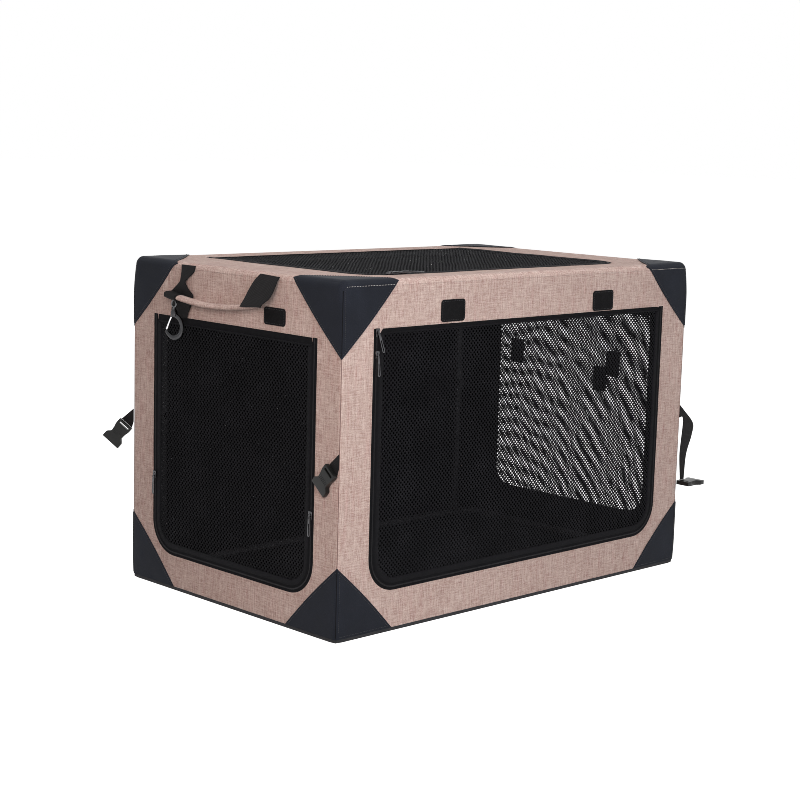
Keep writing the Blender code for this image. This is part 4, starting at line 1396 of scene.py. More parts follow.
@dataclass
class CornerPatch(Assembly):
    """A leatherette patch folded round a corner of the crate, sewn along its slanting edges."""

    place_name: str
    sx: int
    sy: int
    high: bool
    leg: float = 0.128
    bow: float = -0.003
    bow_share: float = 1.02
    crown: float = 0.0008
    thickness: float = 0.0011
    hem: float = 0.0042
    seam_drop: float = 0.0105
    seam_inset: float = 0.0060
    seam_radius: float = 0.0007
    foot: float = 0.0062
    cells: tuple[int, int] = (40, 34)
    weld: float = 0.00002
    crowding: float = 1.35
    dent: float = 0.0005

    @property
    def name(self) -> str:
        """The name of the patch's CAD node."""
        return f"{'top' if self.high else 'bottom'}_{self.place_name}_patch"

    @property
    def planes(self) -> tuple[int, ...]:
        """The axes whose faces the patch lies on."""
        return (0, 1, 2) if self.high else (0, 1)

    @property
    def corner(self) -> Vector:
        """The corner of the sharp box that the patch covers."""
        grow = OVER_SKIN.grow
        height = ROOF_TOP + grow if self.high else 0.0
        return Vector((self.sx * (SKIN_X + grow), self.sy * (SKIN_Y + grow), height))

    def build(self) -> bpy.types.Object:
        """Builds the patch and its stitches."""
        skins = [lambda u, v, plane=plane: self._skin(plane, u, v) for plane in self.planes]
        bm = joined(bmesh.new(), *[mapped_grid(*self.cells, skin) for skin in skins])
        bmesh.ops.remove_doubles(bm, verts=bm.verts, dist=self.weld)
        bmesh.ops.recalc_face_normals(bm, faces=bm.faces)
        middle = Vector((0.0, 0.0, HEIGHT / 2))
        inwards = [f for f in bm.faces if f.normal.dot(f.calc_center_median() - middle) < 0]
        if len(inwards) > len(bm.faces) / 2:
            bmesh.ops.reverse_faces(bm, faces=bm.faces)
        mesh = self.worked(bm, lambda blank: thickened(blank, self.thickness, True))
        body, rests = ("top", "top_panel") if self.high else ("base", "base_frame")
        crumple = Crumple.TO_ROOF if self.high else Crumple.TO_BASE
        name, slot = f"{self.name}_cloth", "corner_leatherette"
        patch = self.add(name, mesh, [LEATHERETTE], body, [self.name], slot, crumple)
        self._sew(body, crumple)
        return patch

    def _tip(self, axis: int) -> Vector:
        """A tip of the patch, from its corner."""
        signs = (-self.sx, -self.sy, -1 if self.high else 1)
        return Vector([self.leg * signs[k] if k == axis else 0.0 for k in range(3)])

    def _edge(self, plane: int, share: float, inset: float = 0.0) -> Vector:
        """A point of the patch's slanting edge on one face, from its corner."""
        first, second = [self._tip(axis) for axis in range(3) if axis != plane]
        toward = -(first + second).normalized()
        return first.lerp(second, share) + toward * (self.bow * sin(pi * share) + inset)

    def _skin(self, plane: int, u: float, v: float) -> Vector:
        """A point of the patch's outer skin on one face."""
        reach = v**self.crowding
        swell, edge = sin(pi * min(reach, 1.0)), self._edge(plane, u)
        bulge = self.crown * sin(pi * u) * swell**0.7
        dent = noise.noise(self.corner * 9.0 + edge * (reach * 30.0)) * self.dent * swell
        return self._laid(self.corner + edge * reach, bulge + dent)

    def _laid(self, point: Vector, out: float = 0.0) -> Vector:
        """A point of the sharp box laid on the soft one; a low patch ends above the hem."""
        if not self.high:
            point.z = self.foot + point.z * (1.0 - self.foot / self.leg)
        return OVER_SKIN.settle(point, out)

    def _row(self, start: Vector, end: Vector, out: Vector) -> list[Stitch]:
        """Stitches on the patch between two points of the sharp box."""
        return Sewing(0.0034, 0.0025).curve(
            lambda share: self._laid(start.lerp(end, share), 0.0005), (end - start).length, out
        )

    def _sew(self, body: str, crumple: Crumple) -> None:
        """Sews the slanting edges, the upright seam and the seam along the roof's edge."""
        corner, dark = self.corner, []
        for plane in self.planes:
            out = Vector([(self.sx, self.sy, 1)[k] if k == plane else 0.0 for k in range(3)])
            length = (self._edge(plane, 1.0) - self._edge(plane, 0.0)).length * 0.92

            def path(share: float, plane: int = plane) -> Vector:
                """The row along the slanting edge."""
                return self._laid(corner + self._edge(plane, 0.04 + 0.92 * share, self.hem), 0.0003)

            dark += Sewing().curve(path, length, out)
        front = Vector((0.0, self.sy, 0.0))
        side, rise = self._tip(0), self._tip(2)
        inset = side.normalized() * self.seam_inset
        dark += self._row(corner + inset + rise * 0.10, corner + inset + rise * 0.90, front)
        if not self.high:
            lift = rise.normalized() * self.hem
            dark += self._row(corner + lift + side * 0.06, corner + lift + side * 0.93, front)
        sewing = Sewing(radius=0.0005)
        sewing.run(f"{self.name}_stitches", dark, DARK_THREAD, body, crumple)
        stops = (0.13, 0.30, 0.50, 0.75, 0.96) if self.high else (0.02, 0.25, 0.50, 0.75, 0.96)
        points = [self._laid(corner + rise * share, self.seam_radius * 0.2) for share in stops]
        seam = rod(points, [(self.seam_radius, self.seam_radius)], X_AXIS, 30, 10)
        self.add(f"{self.name}_seam", seam, [BINDING], body, slot="black_webbing", crumple=crumple)
        if self.high:
            drop = rise.normalized() * self.seam_drop
            row = self._row(corner + drop + side * 0.06, corner + drop + side * 0.90, front)
            Sewing(length=0.0022, radius=0.00055).run(f"{self.name}_top_row", row, PALE_THREAD, body, crumple)


@dataclass
class Piping(Assembly):
    """The hem round the foot of the cover and the cords sewn into its upright seams."""

    radius: float = 0.0007
    hem_half: tuple[float, float] = (0.0012, 0.0030)
    stations: tuple[float, ...] = (0.03, 0.16, 0.30, 0.44, 0.56)
    hem_cells: tuple[int, int] = (720, 12)

    def build(self) -> None:
        """Adds the hem and the four cords."""
        self._hem()
        for place, sx, sy in CORNERS:
            corner = Vector((sx * SKIN_X, sy * SKIN_Y, 0.0))
            points = [SKIN.settle(corner + Z_AXIS * z, -self.radius * 0.35) for z in self.stations]
            bm = rod(points, [(self.radius, self.radius)], X_AXIS, 40, 10)
            name = "corner_piping_" + "".join(word[0] for word in place.split("_"))
            self.add(name, bm, [SEAM_CORD], "base", (), "black_webbing", Crumple.TO_BASE)

    def _hem(self) -> None:
        """The rounded hem between the walls and the floor, gathered at the corners."""
        outline = Outline((-SKIN_X, -SKIN_Y), (SKIN_X, SKIN_Y), SKIN.foot, SKIN.foot)
        sides = self.hem_cells[1]
        profile = oval(*self.hem_half, sides, 2.4)
        straight_x, straight_y = SKIN_X - SKIN.foot, SKIN_Y - SKIN.foot

        def place(u: float, v: float) -> Vector:
            """The point on the hem's skin."""
            across, up = profile[round(v * sides) % sides]
            x, y = outline.at(u, 0.0)
            inner = Vector((max(min(x, straight_x), -straight_x), max(min(y, straight_y), -straight_y)))
            normal = (Vector((x, y)) - inner).normalized()
            gather = 1.0 + 0.10 * noise.noise(Vector((x * 60.0, y * 60.0, up * 400.0)))
            out = across * gather - self.hem_half[0] * 0.2
            z = self.hem_half[1] + 0.0004 + up * gather * 0.9
            return Vector((x + normal.x * out, y + normal.y * out, z))

        bm = closed_up(mapped_grid(*self.hem_cells, place, (outline.length, 0.01)), False)
        self.add("foot_hem", bm, [HEM_TAPE], "base", crumple=Crumple.TO_BASE, slot="black_webbing")


@dataclass
class SewnPatch(Assembly):
    """A piece of hook-and-loop tape sewn on a face, with its row of stitches."""

    name: str
    side: Side
    middle: tuple[float, float]
    size: tuple[float, float]
    body: str = "base"
    thickness: float = 0.0018
    sunk: float = 0.0008
    corner_radius: float = 0.0060
    corner_points: int = 120
    edge_radius: float = 0.0006
    stitch_inset: float = 0.003
    stitch_radius: float = 0.0035

    def build(self) -> None:
        """Adds the patch and its stitches."""
        face, sewing = FACES[self.side], Sewing()
        (u, v), (width, height), inset = self.middle, self.size, self.stitch_inset
        radius, count = self.corner_radius, self.corner_points
        outline = Outline((-width / 2, -height / 2), (width / 2, height / 2), radius, radius)
        bm = plate([[tuple(outline.at(k / count)) for k in range(count)]], self.thickness)
        soften(bm, self.edge_radius)
        bmesh.ops.transform(bm, matrix=face.matrix(u, v, -self.sunk), verts=bm.verts)
        self.add(self.name, bm, [PILE], self.body, (), "black_webbing", Crumple.TO_BASE)
        low = (u - width / 2 + inset, v - height / 2 + inset)
        high = (u + width / 2 - inset, v + height / 2 - inset)
        row, lift = Outline(low, high, self.stitch_radius, self.stitch_radius), self.thickness - self.sunk
        spots = sewing.curve(lambda share: face.at(*row.at(share), lift), row.length, face.outward)
        sewing.run(f"{self.name}_stitches", spots, DARK_THREAD, self.body, Crumple.TO_BASE)


@dataclass
class LoopPatches:
    """The squares of hook-and-loop tape sewn on the cover over its doors."""

    places: tuple[tuple[Side, float, float, float, float], ...] = (
        (Side.FRONT, -0.1998, 0.5396, 0.058, 0.0380),
        (Side.FRONT, 0.1990, 0.5377, 0.058, 0.0374),
        (Side.LEFT, 0.115, 0.5265, 0.0555, 0.0300),
        (Side.RIGHT, 0.115, 0.5265, 0.0555, 0.0300),
    )

    def build(self) -> None:
        """Adds each square."""
        for number, (side, u, v, width, height) in enumerate(self.places, 1):
            SewnPatch(f"loop_patch_{number}", side, (u, v), (width, height)).build()


@dataclass
class NetTabs:
    """The soft tabs sewn on the right door's net, which hold it when it is rolled up."""

    places: tuple[tuple[float, float], ...] = ((0.1535, 0.380), (-0.1085, 0.380), (-0.0760, 0.346))
    size: tuple[float, float] = (0.035, 0.051)

    def build(self) -> None:
        """Adds each tab."""
        for number, place in enumerate(self.places, 1):
            tab = SewnPatch(f"net_tab_{number}", Side.RIGHT, place, self.size, "right_door")
            tab.thickness, tab.sunk, tab.edge_radius = 0.0016, 0.0010, 0.0005
            tab.corner_radius, tab.corner_points, tab.stitch_radius = 0.004, 96, 0.002
            tab.build()


@dataclass
class CarryHandle(Assembly):
    """The padded carry strap on the left end and the webbing loops that hold it."""

    rear_y: float = 0.160
    front_y: float = -0.084
    drop: float = 0.052
    sag: float = 0.012
    depth: float = 0.024
    height: float = 0.010
    voxel: float = 0.0028
    swell_cap: float = 0.0022
    sleeve_length: float = 0.033
    sleeve_wall: float = 0.0012
    sleeve_slant: float = 0.25
    frames: int = 16
    shrink: float = 0.0011
    cells: int = 96
    sides: int = 24
    squareness: float = 3.2
    row_inset: float = 0.0045

    def top(self, y: float) -> float:
        """The height of the strap's upper side."""
        share = (self.rear_y - y) / (self.rear_y - self.front_y)
        return ROOF_TOP - self.drop - SEAT - self.sag * sin(pi * min(max(share, 0.0), 1.0))

    def build(self) -> None:
        """Adds the padded strap and its two webbings."""
        strap = self._strap()
        self._webbings()
        self._strap_stitches()

    def _strap(self) -> bpy.types.Object:
        """The padded strap, swollen by its filling."""
        shrink = self.shrink
        face = -SKIN_X - SEAT
        half_depth, half_height = self.depth / 2 - shrink, self.height / 2 - shrink
        profile = oval(half_depth, half_height, self.sides, self.squareness)

        def place(u: float, v: float) -> Vector:
            """The point on the strap's skin."""
            y = self.rear_y + (self.front_y - self.rear_y) * u
            across, up = profile[round(v * self.sides) % self.sides]
            ends = min(u, 1 - u) / 0.02
            pinch = min(1.0, 0.55 + 0.45 * ends)
            centre = self.top(y) - self.height / 2
            out = face - self.depth / 2 + across * min(1.0, 0.72 + 0.28 * ends)
            return Vector((out, y, centre + up * pinch))

        span = (self.rear_y - self.front_y, 0.068)
        bm = closed_up(mapped_grid(self.cells, self.sides, place, span))
        mesh = self._swollen(bm)
        flat_coordinates(mesh)
        name, node, sharp = "handle_padded_strap", "handle_strap", radians(75)
        return self.add(name, mesh, [LINEN], "handle", [node], "pink_linen", sharp=sharp)

    def _swollen(self, bm: bmesh.types.BMesh) -> bpy.types.Mesh:
        """The strap's cover after the cloth simulation has filled it."""

        def remesh(blank: bpy.types.Object) -> None:
            """Even cells for the cloth."""
            even = blank.modifiers.new("Even", "REMESH")
            even.mode, even.voxel_size = "VOXEL", self.voxel

        mesh = self.worked(bm, remesh)
        rest = [vert.co.copy() for vert in mesh.vertices]
        blank = linked("strap_in_work", mesh)
        pins = blank.vertex_groups.new(name="sewn")
        for vert in mesh.vertices:
            if vert.co.y > self.rear_y - 0.004 or vert.co.y < self.front_y + 0.004:
                pins.add([vert.index], 1.0, "REPLACE")
        cloth = blank.modifiers.new("Filling", "CLOTH")
        settings = cloth.settings
        settings.vertex_group_mass, settings.effector_weights.gravity = "sewn", 0.0
        settings.use_pressure, settings.uniform_pressure_force = True, 4.0
        settings.tension_stiffness, settings.compression_stiffness = 30.0, 12.0
        settings.bending_stiffness = 1.0
        cloth.point_cache.frame_start, cloth.point_cache.frame_end = 1, self.frames
        scene = bpy.context.scene
        for frame in range(1, self.frames + 1):
            scene.frame_set(frame)
        moved = evaluated(blank)
        for vert, start in zip(moved.vertices, rest):
            step = vert.co - start
            if step.length > self.swell_cap:
                vert.co = start + step.normalized() * self.swell_cap
        scene.frame_set(1)
        bpy.data.objects.remove(blank, do_unlink=True)
        smooth = bmesh.new()
        smooth.from_mesh(moved)
        axes = {"use_axis_x": True, "use_axis_y": True, "use_axis_z": True}
        for _ in range(2):
            bmesh.ops.smooth_vert(smooth, verts=smooth.verts, factor=0.4, **axes)
        return self.worked(smooth, self._finer)

    @staticmethod
    def _finer(blank: bpy.types.Object) -> None:
        """One subdivision."""
        finer = blank.modifiers.new("Finer", "SUBSURF")
        finer.levels = finer.render_levels = 1

    def _webbing(self, name: str, node: str, stops: Sequence[tuple[float, float, float, float, float]]) -> None:
        """Adds a webbing on the end wall.

        Args:
            name: the piece's name.
            node: the CAD node that it stands for, or an empty text.
            stops: how far out it lies, and Y and Z of its rear edge, then of its front edge.
        """
        face = -SKIN_X - SEAT
        sections = []
        for out, y0, z0, y1, z1 in stops:
            sections.append((Vector((face - out, y0, z0)), Vector((face - out, y1, z1))))
        bm = ribbon(sections, WEBBING_THICKNESS, 64)
        self.add(name, bm, [WEBBING], "handle", [node] if node else [], "black_webbing", sharp=TAPE_SHARP)

    def _webbings(self) -> None:
        """The webbing over the strap's front end, and the one looped behind its rear end."""
        head = ROOF_TOP - 0.0035
        over = 0.0013
        rear, front = -0.0560, -0.1120
        self._webbing(
            "handle_front_loop",
            "handle_front_webbing",
            (
                (0.0006, -0.0780, head, -0.1290, head - 0.002),
                (0.0060, -0.0682, 0.5826, -0.1290, 0.5862),
                (0.0125, -0.0615, 0.5665, -0.1285, 0.5724),
                (0.0185, -0.0585, 0.5530, -0.1240, 0.5580),
                (0.0238, rear, self.top(rear) + over, front, self.top(front) + over - 0.0006),
                (0.0262, rear + 0.001, self.top(rear) - 0.0035, front + 0.001, self.top(front) - 0.0040),
            ),
        )
        self._webbing(
            "handle_rear_loop",
            "handle_rear_webbing",
            (
                (0.0004, 0.140, head, 0.099, head),
                (0.0022, 0.138, head - 0.012, 0.103, head - 0.012),
                (0.0050, 0.137, head - 0.024, 0.116, head - 0.023),
                (0.0060, 0.139, head - 0.031, 0.121, head - 0.031),
                (0.0055, 0.154, head - 0.042, 0.112, head - 0.042),
                (0.0040, 0.166, head - 0.050, 0.102, head - 0.051),
                (0.0030, 0.168, head - 0.060, 0.104, head - 0.062),
                (0.0028, 0.162, head - 0.072, 0.112, head - 0.074),
            ),
        )
        self._sleeve()
        self._webbing(
            "handle_webbing_tail",
            "",
            (
                (0.0010, 0.163, head - 0.066, 0.110, head - 0.066),
                (0.0024, 0.165, head - 0.076, 0.112, head - 0.076),
                (0.0034, 0.165, head - 0.086, 0.116, head - 0.085),
                (0.0026, 0.164, head - 0.096, 0.120, head - 0.094),
            ),
        )

    def _sleeve(self) -> None:
        """The webbing turned round the strap's rear end."""
        wall = self.sleeve_wall
        profile = oval(self.depth / 2 + wall, self.height / 2 + wall, self.sides, self.squareness)
        stops = (self.rear_y + wall, self.rear_y - 0.004, self.rear_y - self.sleeve_length)

        def place(u: float, v: float) -> Vector:
            """The point on the sleeve's skin, closed over the strap's end."""
            y = spline_point([Vector((0.0, stop, 0.0)) for stop in stops], u).y
            across, up = profile[round(v * self.sides) % self.sides]
            y -= self.sleeve_slant * across * fade(u, 0.3, 1.0)
            swell = 0.72 + 0.28 * fade(u, 0.0, 0.3)
            centre = self.top(y) - self.height / 2
            return Vector((-SKIN_X - SEAT - self.depth / 2 + across * swell, y, centre + up * swell))

        bm = closed_up(mapped_grid(14, self.sides, place, (self.sleeve_length, 0.07)))
        self.add("handle_end_sleeve", bm, [WEBBING], "handle", slot="black_webbing", sharp=TAPE_SHARP)

    def _strap_stitches(self) -> None:
        """The two rows of stitches along the strap's upper side."""
        sewing = Sewing()
        spots = []
        for inset in (self.row_inset, self.depth - self.row_inset):
            x = -SKIN_X - SEAT - inset

            def path(share: float, x: float = x) -> Vector:
                """The row's line."""
                y = self.rear_y - 0.008 + (self.front_y + 0.072 - self.rear_y) * share
                return Vector((x, y, self.top(y) - 0.0005))

            spots += sewing.curve(path, self.rear_y - self.front_y - 0.08, Z_AXIS)
        sewing.run("handle_strap_stitches", spots, PINK_THREAD, "handle")


@dataclass
class SnapHook(Assembly):
    """The swivel snap hook that hangs on the handle: eye, turning body and sprung gate."""

    y: float = 0.145
    stand_off: float = 0.0135
    eye_z: float = 0.525497
    ring_radius: float = 0.0062
    ring_bar: float = 0.0016
    stem_foot: float = 0.515297
    collar_foot: float = 0.504997
    turn: float = radians(30)
    half_width: float = 0.015
    loop_drop: float = 0.040
    nose_out: float = 0.0138
    nose_drop: float = 0.0275
    gate_out: float = 0.0050

    @property
    def normal(self) -> Vector:
        """The direction across the hook's plane."""
        return Vector((cos(self.turn), sin(self.turn), 0.0))

    def build(self) -> None:
        """Adds the three parts of the hook."""
        self._eye()
        self._body()
        self._gate()

    def point(self, out: float, z: float) -> Vector:
        """A point in the plane of the turned hook, out from its stem towards the gate."""
        return Vector((-SKIN_X - self.stand_off - out * sin(self.turn), self.y + out * cos(self.turn), z))

    def _eye(self) -> None:
        """The ring and its turned stem."""
        radius = self.ring_radius
        middle = Vector((-SKIN_X - self.stand_off, self.y, self.eye_z))
        circle = [middle + Vector((0.0, sin(tau * k / 24), cos(tau * k / 24))) * radius for k in range(25)]
        ring = rod(circle, [(self.ring_bar, self.ring_bar)], X_AXIS, 48, 12, True)
        heights = (self.eye_z - 0.0055, self.stem_foot + 0.002, self.stem_foot)
        stem = self._turned(heights, (0.0019, 0.0026, 0.0034), 12, 14)
        bm = joined(ring, stem)
        self.add("hook_eye_ring", bm, [EYE_STEEL], "handle", ["hook_eye"], "bright_steel", sharp=METAL_SHARP)

    def _turned(
        self, heights: Sequence[float], radii: Sequence[float], steps: int, sides: int
    ) -> bmesh.types.BMesh:
        """A round stem on the hook's own axis, with its radius at each height."""
        points = [self.point(0.0, z) for z in heights]
        return rod(points, [(radius, radius) for radius in radii], X_AXIS, steps, sides)

    def _body(self) -> None:
        """The collar and the forged bow, thicker at its back and foot."""
        foot, half, drop = self.collar_foot, self.half_width, self.loop_drop
        course = ((0.0, -0.04), (0.30, 0.03), (0.62, 0.12), (0.92, 0.32), (1.0, 0.56), (0.84, 0.82))
        course += ((0.42, 0.97), (-0.08, 1.0), (-0.52, 0.91), (-0.84, 0.78))
        points = [self.point(-u * half, foot - v * drop) for u, v in course]
        points.append(self.point(self.nose_out, foot - self.nose_drop))
        sizes = ((0.0044, 0.0038), (0.0040, 0.0033), (0.0036, 0.0030))
        sizes += ((0.0045, 0.0033), (0.0038, 0.0030), (0.0024, 0.0023))
        bow = rod(points, sizes, self.normal, 60, 14)
        heights = (self.stem_foot - SEAT, foot + 0.006, foot + 0.001, foot - 0.0028)
        collar = self._turned(heights, (0.0042, 0.0060, 0.0060, 0.0052), 16, 20)
        bm = joined(bow, collar)
        self.add("hook_bow", bm, [HOOK_ZINC], "hook_body", ["hook_body"], "dark_zinc", sharp=METAL_SHARP)

    def _gate(self) -> None:
        """The bright sprung gate."""
        top = self.point(self.gate_out, self.collar_foot - 0.0025 - 0.0009)
        nose = self.point(self.nose_out, self.collar_foot - self.nose_drop + 0.0019)
        points = [top, top.lerp(nose, 0.5) + Vector((0, 0.0006, 0)), nose]
        bar = rod(points, [(radius, radius) for radius in (0.0018, 0.0016, 0.0019)], self.normal, 20, 12)
        self.add("hook_sprung_gate", bar, [BRIGHT], "hook_gate", ["hook_gate"], "bright_steel", sharp=METAL_SHARP)


@dataclass
class BuckleHalf(Assembly):
    """Half of a side release buckle, drawn along +X from its strap end and facing +Z."""

    length: float = 0.046
    tail: float = 0.029
    waist: float = 0.025
    flare: float = 0.037
    thickness: float = 0.010
    stations: tuple[float, ...] = (0.22, 0.42, 0.62, 0.78)
    ridge_stations: tuple[float, ...] = (0.46, 0.52, 0.58)
    slot_reach: tuple[float, float] = (0.0035, 0.0075)
    slot_wall: float = 0.004
    inset: float = 0.0022
    edge_radius: float = 0.0011

    def shape(self) -> bmesh.types.BMesh:
        """The buckle half with its domed face and its strap slot."""
        widths = (self.tail, self.tail, self.waist, self.waist, self.flare, self.flare)
        stations = (0.0, *self.stations, 1.0)
        keys = [Vector((share * self.length, width / 2, 0.0)) for share, width in zip(stations, widths)]
        fine = [spline_point(keys, k / 24) for k in range(25)]
        side = [(p.x, min(p.y, self.flare / 2)) for p in fine]
        rim = [(x, -y) for x, y in side] + side[::-1]
        (near, far), half = self.slot_reach, self.tail / 2 - self.slot_wall
        slot = [(near, -half), (far, -half), (far, half), (near, half)]
        bm = plate([rim, slot], self.thickness)
        top = [f for f in bm.faces if f.normal.z > 0.9]
        bmesh.ops.inset_region(bm, faces=top, thickness=self.inset, depth=0.0, use_even_offset=True)
        soften(bm, self.edge_radius, 3)
        for vert in bm.verts:
            share = vert.co.x / self.length
            dome = 1.0 - 0.16 * (2 * share - 1) ** 2 - 0.10 * (abs(vert.co.y) / (self.flare / 2)) ** 2
            vert.co.z = self.thickness / 2 + (vert.co.z - self.thickness / 2) * dome
        bmesh.ops.recalc_face_normals(bm, faces=bm.faces)
        return bm

    def ridges(self, bm: bmesh.types.BMesh) -> None:
        """Adds the grip ridges across the waist."""
        half = self.waist / 2 - 0.003
        size = Matrix.Diagonal((0.0011, half * 2, 0.0012, 1.0))
        for share in self.ridge_stations:
            place = Matrix.Translation((share * self.length, 0.0, self.thickness * 0.97))
            made = bmesh.ops.create_cube(bm, size=1.0, matrix=place @ size)
            edges = list({edge for vert in made["verts"] for edge in vert.link_edges})
            bmesh.ops.bevel(bm, geom=edges, offset=0.0003, segments=2, profile=0.5, affect="EDGES", material=-1)


@dataclass
class SideStraps(Assembly):
    """The webbing straps at the crate's four upright corners, with their buckle halves."""

    width: float = 0.025
    top: float = 0.318
    short_length: float = 0.020
    short_angle: float = radians(-50)
    rear_splay: float = radians(38)
    reach: float = 0.036
    fall: float = 0.150
    end_width: float = 0.012
    end_out: float = 0.0065
    folds: tuple = (
        ((0.40, 0.012), (0.28, 0.025)),
        ((1.25, 0.040), (0.34, 0.040)),
        ((1.20, 0.064), (0.26, 0.068)),
        ((0.78, 0.102), (0.18, 0.102)),
    )
    buckle: BuckleHalf = field(default_factory=BuckleHalf)

    def build(self) -> None:
        """Adds the four straps."""
        self._short("front_left", -SKIN_Y, Y_AXIS)
        splay = Vector((-sin(self.rear_splay), cos(self.rear_splay), 0.0))
        self._short("rear_left", SKIN_Y, splay)
        self._long("front_right", -1)
        self._long("rear_right", 1)

    def _place_buckle(self, place: str, frame: Matrix) -> None:
        """Adds a buckle half at a strap's end."""
        bm = self.buckle.shape()
        self.buckle.ridges(bm)
        bmesh.ops.transform(bm, matrix=frame, verts=bm.verts)
        name, node, slot = f"{place}_buckle_half", f"{place}_buckle", "gloss_plastic"
        self.add(name, bm, [PLASTIC], f"{place}_strap", [node], slot, Crumple.TO_BASE, PLATE_SHARP)

    def _short(self, place: str, corner_y: float, heading: Vector) -> None:
        """A short strap with its buckle half along a heading."""
        sy = 1 if corner_y > 0 else -1
        seam = Vector((-SKIN_X - SEAT, corner_y, self.top - self.width / 2))
        run = (heading * cos(self.short_angle) + Z_AXIS * sin(self.short_angle)).normalized()
        out = Vector((-heading.y * sy, heading.x * sy, 0.0))
        out = out if out.x < 0 else -out
        edge = run.cross(out).normalized() * (self.width / 2)
        far = seam + run * self.short_length
        sewn = Z_AXIS * (self.width / 2)
        sections = [(seam + sewn, seam - sewn), (far + edge, far - edge)]
        if edge.dot(sewn) < 0:
            sections[1] = (far - edge, far + edge)
        middle = [a.lerp(b, 0.5) for a, b in zip(*sections)]
        sections.insert(1, (middle[0], middle[1]))
        if run.cross(-sewn).dot(out) < 0:
            sections = [(low, high) for high, low in sections]
        bm = ribbon(sections, WEBBING_THICKNESS, 24)
        body = f"{place}_strap"
        self.add(f"{place}_strap_webbing", bm, [WEBBING], body, [body], "black_webbing", Crumple.TO_BASE)
        frame = Matrix((run, out.cross(run), out)).transposed().to_4x4()
        frame.translation = far + run * SEAT
        self._place_buckle(place, frame)

    def _long(self, place: str, sy: int) -> None:
        """A long strap: out from the seam, folded over and hanging down."""
        y = sy * SKIN_Y
        seam_x = SKIN_X + SEAT
        sections = [(Vector((seam_x, y, self.top)), Vector((seam_x, y, self.top - self.width)))]
        for fold in self.folds:
            pair = [Vector((seam_x + out * self.reach, y, self.top - down)) for out, down in fold]
            sections.append(tuple(pair))
        end_x = seam_x + self.end_out
        end_y = y + sy * (self.buckle.tail - self.buckle.waist)
        end_z = self.top - self.fall
        sections.append((Vector((end_x + self.end_width, end_y, end_z)), Vector((end_x, end_y, end_z))))
        if sy > 0:
            sections = [(low, high) for high, low in sections]
        body = f"{place}_strap"
        bm = ribbon(sections, WEBBING_THICKNESS, 90)
        self.add(f"{place}_strap_webbing", bm, [WEBBING], body, [body], "black_webbing", Crumple.TO_BASE)
        run, out = X_AXIS, -Z_AXIS
        frame = Matrix((run, out.cross(run), out)).transposed().to_4x4()
        frame.translation = (seam_x, y + sy * self.buckle.tail / 2, end_z - SEAT)
        self._place_buckle(place, frame)


@dataclass
class ZipSlider(Assembly):
    """A zip slider with its bail and its hanging pull."""

    name: str
    side: Side
    u: float
    v: float
    tilt: float
    crumple: Crumple
    length: float = 0.014
    width: float = 0.009
    thickness: float = 0.0032
    pull_length: float = 0.036
    pull_width: float = 0.0062
    pull_thickness: float = 0.0012
    slot_lift: float = 0.0135
    slot_wall: float = 0.0019
    eye: tuple[float, float] = (0.0052, 0.0012)

    def build(self) -> None:
        """Adds the slider and its pull."""
        self._slider()
        self._pull()

    def _slider(self) -> None:
        """The slider: a shield-shaped block with a waist, and the bail that holds the pull."""
        half_l, half_w = self.length / 2, self.width / 2
        keys = ((-1.0, 0.62), (-0.8, 0.86), (0.0, 0.80), (0.5, 1.0), (0.92, 0.94), (1.0, 0.60))
        right = [Vector((half_w * w, half_l * y, 0.0)) for y, w in keys]
        fine = [spline_point(right, k / 20) for k in range(21)]
        side = [(min(p.x, half_w), p.y) for p in fine]
        rim = side + [(-x, y) for x, y in reversed(side)]
        bm = plate([rim], self.thickness * 0.62)
        soften(bm, 0.0005, 2)
        course = ((0.55, 0.5), (0.42, 0.95), (0.0, 1.30), (-0.42, 0.95), (-0.55, 0.5))
        bail = [Vector((0.0, half_l * y, self.thickness * z)) for y, z in course]
        joined(bm, rod(bail, [(0.0006, 0.0014)], X_AXIS, 20, 10))
        turn = Matrix.Rotation(pi / 2, 4, "Z") if self.side is Side.ROOF else Matrix.Identity(4)
        bmesh.ops.transform(bm, matrix=FACES[self.side].matrix(self.u, self.v, SEAT) @ turn, verts=bm.verts)
        node = self.name
        self.add(f"{node}_body", bm, [GUNMETAL], node, [node], "dark_zinc", self.crumple, PLATE_SHARP)

    def _pull(self) -> None:
        """The pull: a long flat loop of metal with a slot down it."""
        half = self.pull_width / 2
        rim = stadium(self.pull_length, half, 0.0, 10)
        rim = [(x * (0.62 + 0.38 * fade(-y, 0.0, 0.012)), y) for x, y in rim]
        slot = stadium(self.pull_length - 0.0022, half - self.slot_wall, self.slot_lift, 8)
        slot = [(x * 0.85, y) for x, y in slot]
        bm = plate([rim, slot, stadium(*self.eye, self.eye[1], 6)], self.pull_thickness)
        soften(bm, 0.0003, 2, radians(50))
        place = FACES[self.side].matrix(self.u, self.v, SEAT) @ Matrix.Translation((0, 0, self.thickness + SEAT))
        bmesh.ops.transform(bm, matrix=place @ Matrix.Rotation(self.tilt, 4, "Z"), verts=bm.verts)
        node = self.name.replace("slider", "pull")
        self.add(f"{node}_tab", bm, [GUNMETAL], node, [node], "dark_zinc", self.crumple, PLATE_SHARP)


@dataclass
class TubeFrame(Assembly):
    """The steel tube frame: CAD nodes that stay, in enamel."""

    nodes: tuple[str, ...] = ("base_frame", "top_frame")

    def build(self, frame: dict) -> None:
        """Gives the rings and posts their enamel.
        """
        names = list(self.nodes) + [name for name in frame["nodes"] if name.endswith("_post")]
        for name in names:
            for slot in frame["nodes"][name].material_slots:
                slot.material = ENAMEL.material()
            LOG.info("%s: enamel", name)


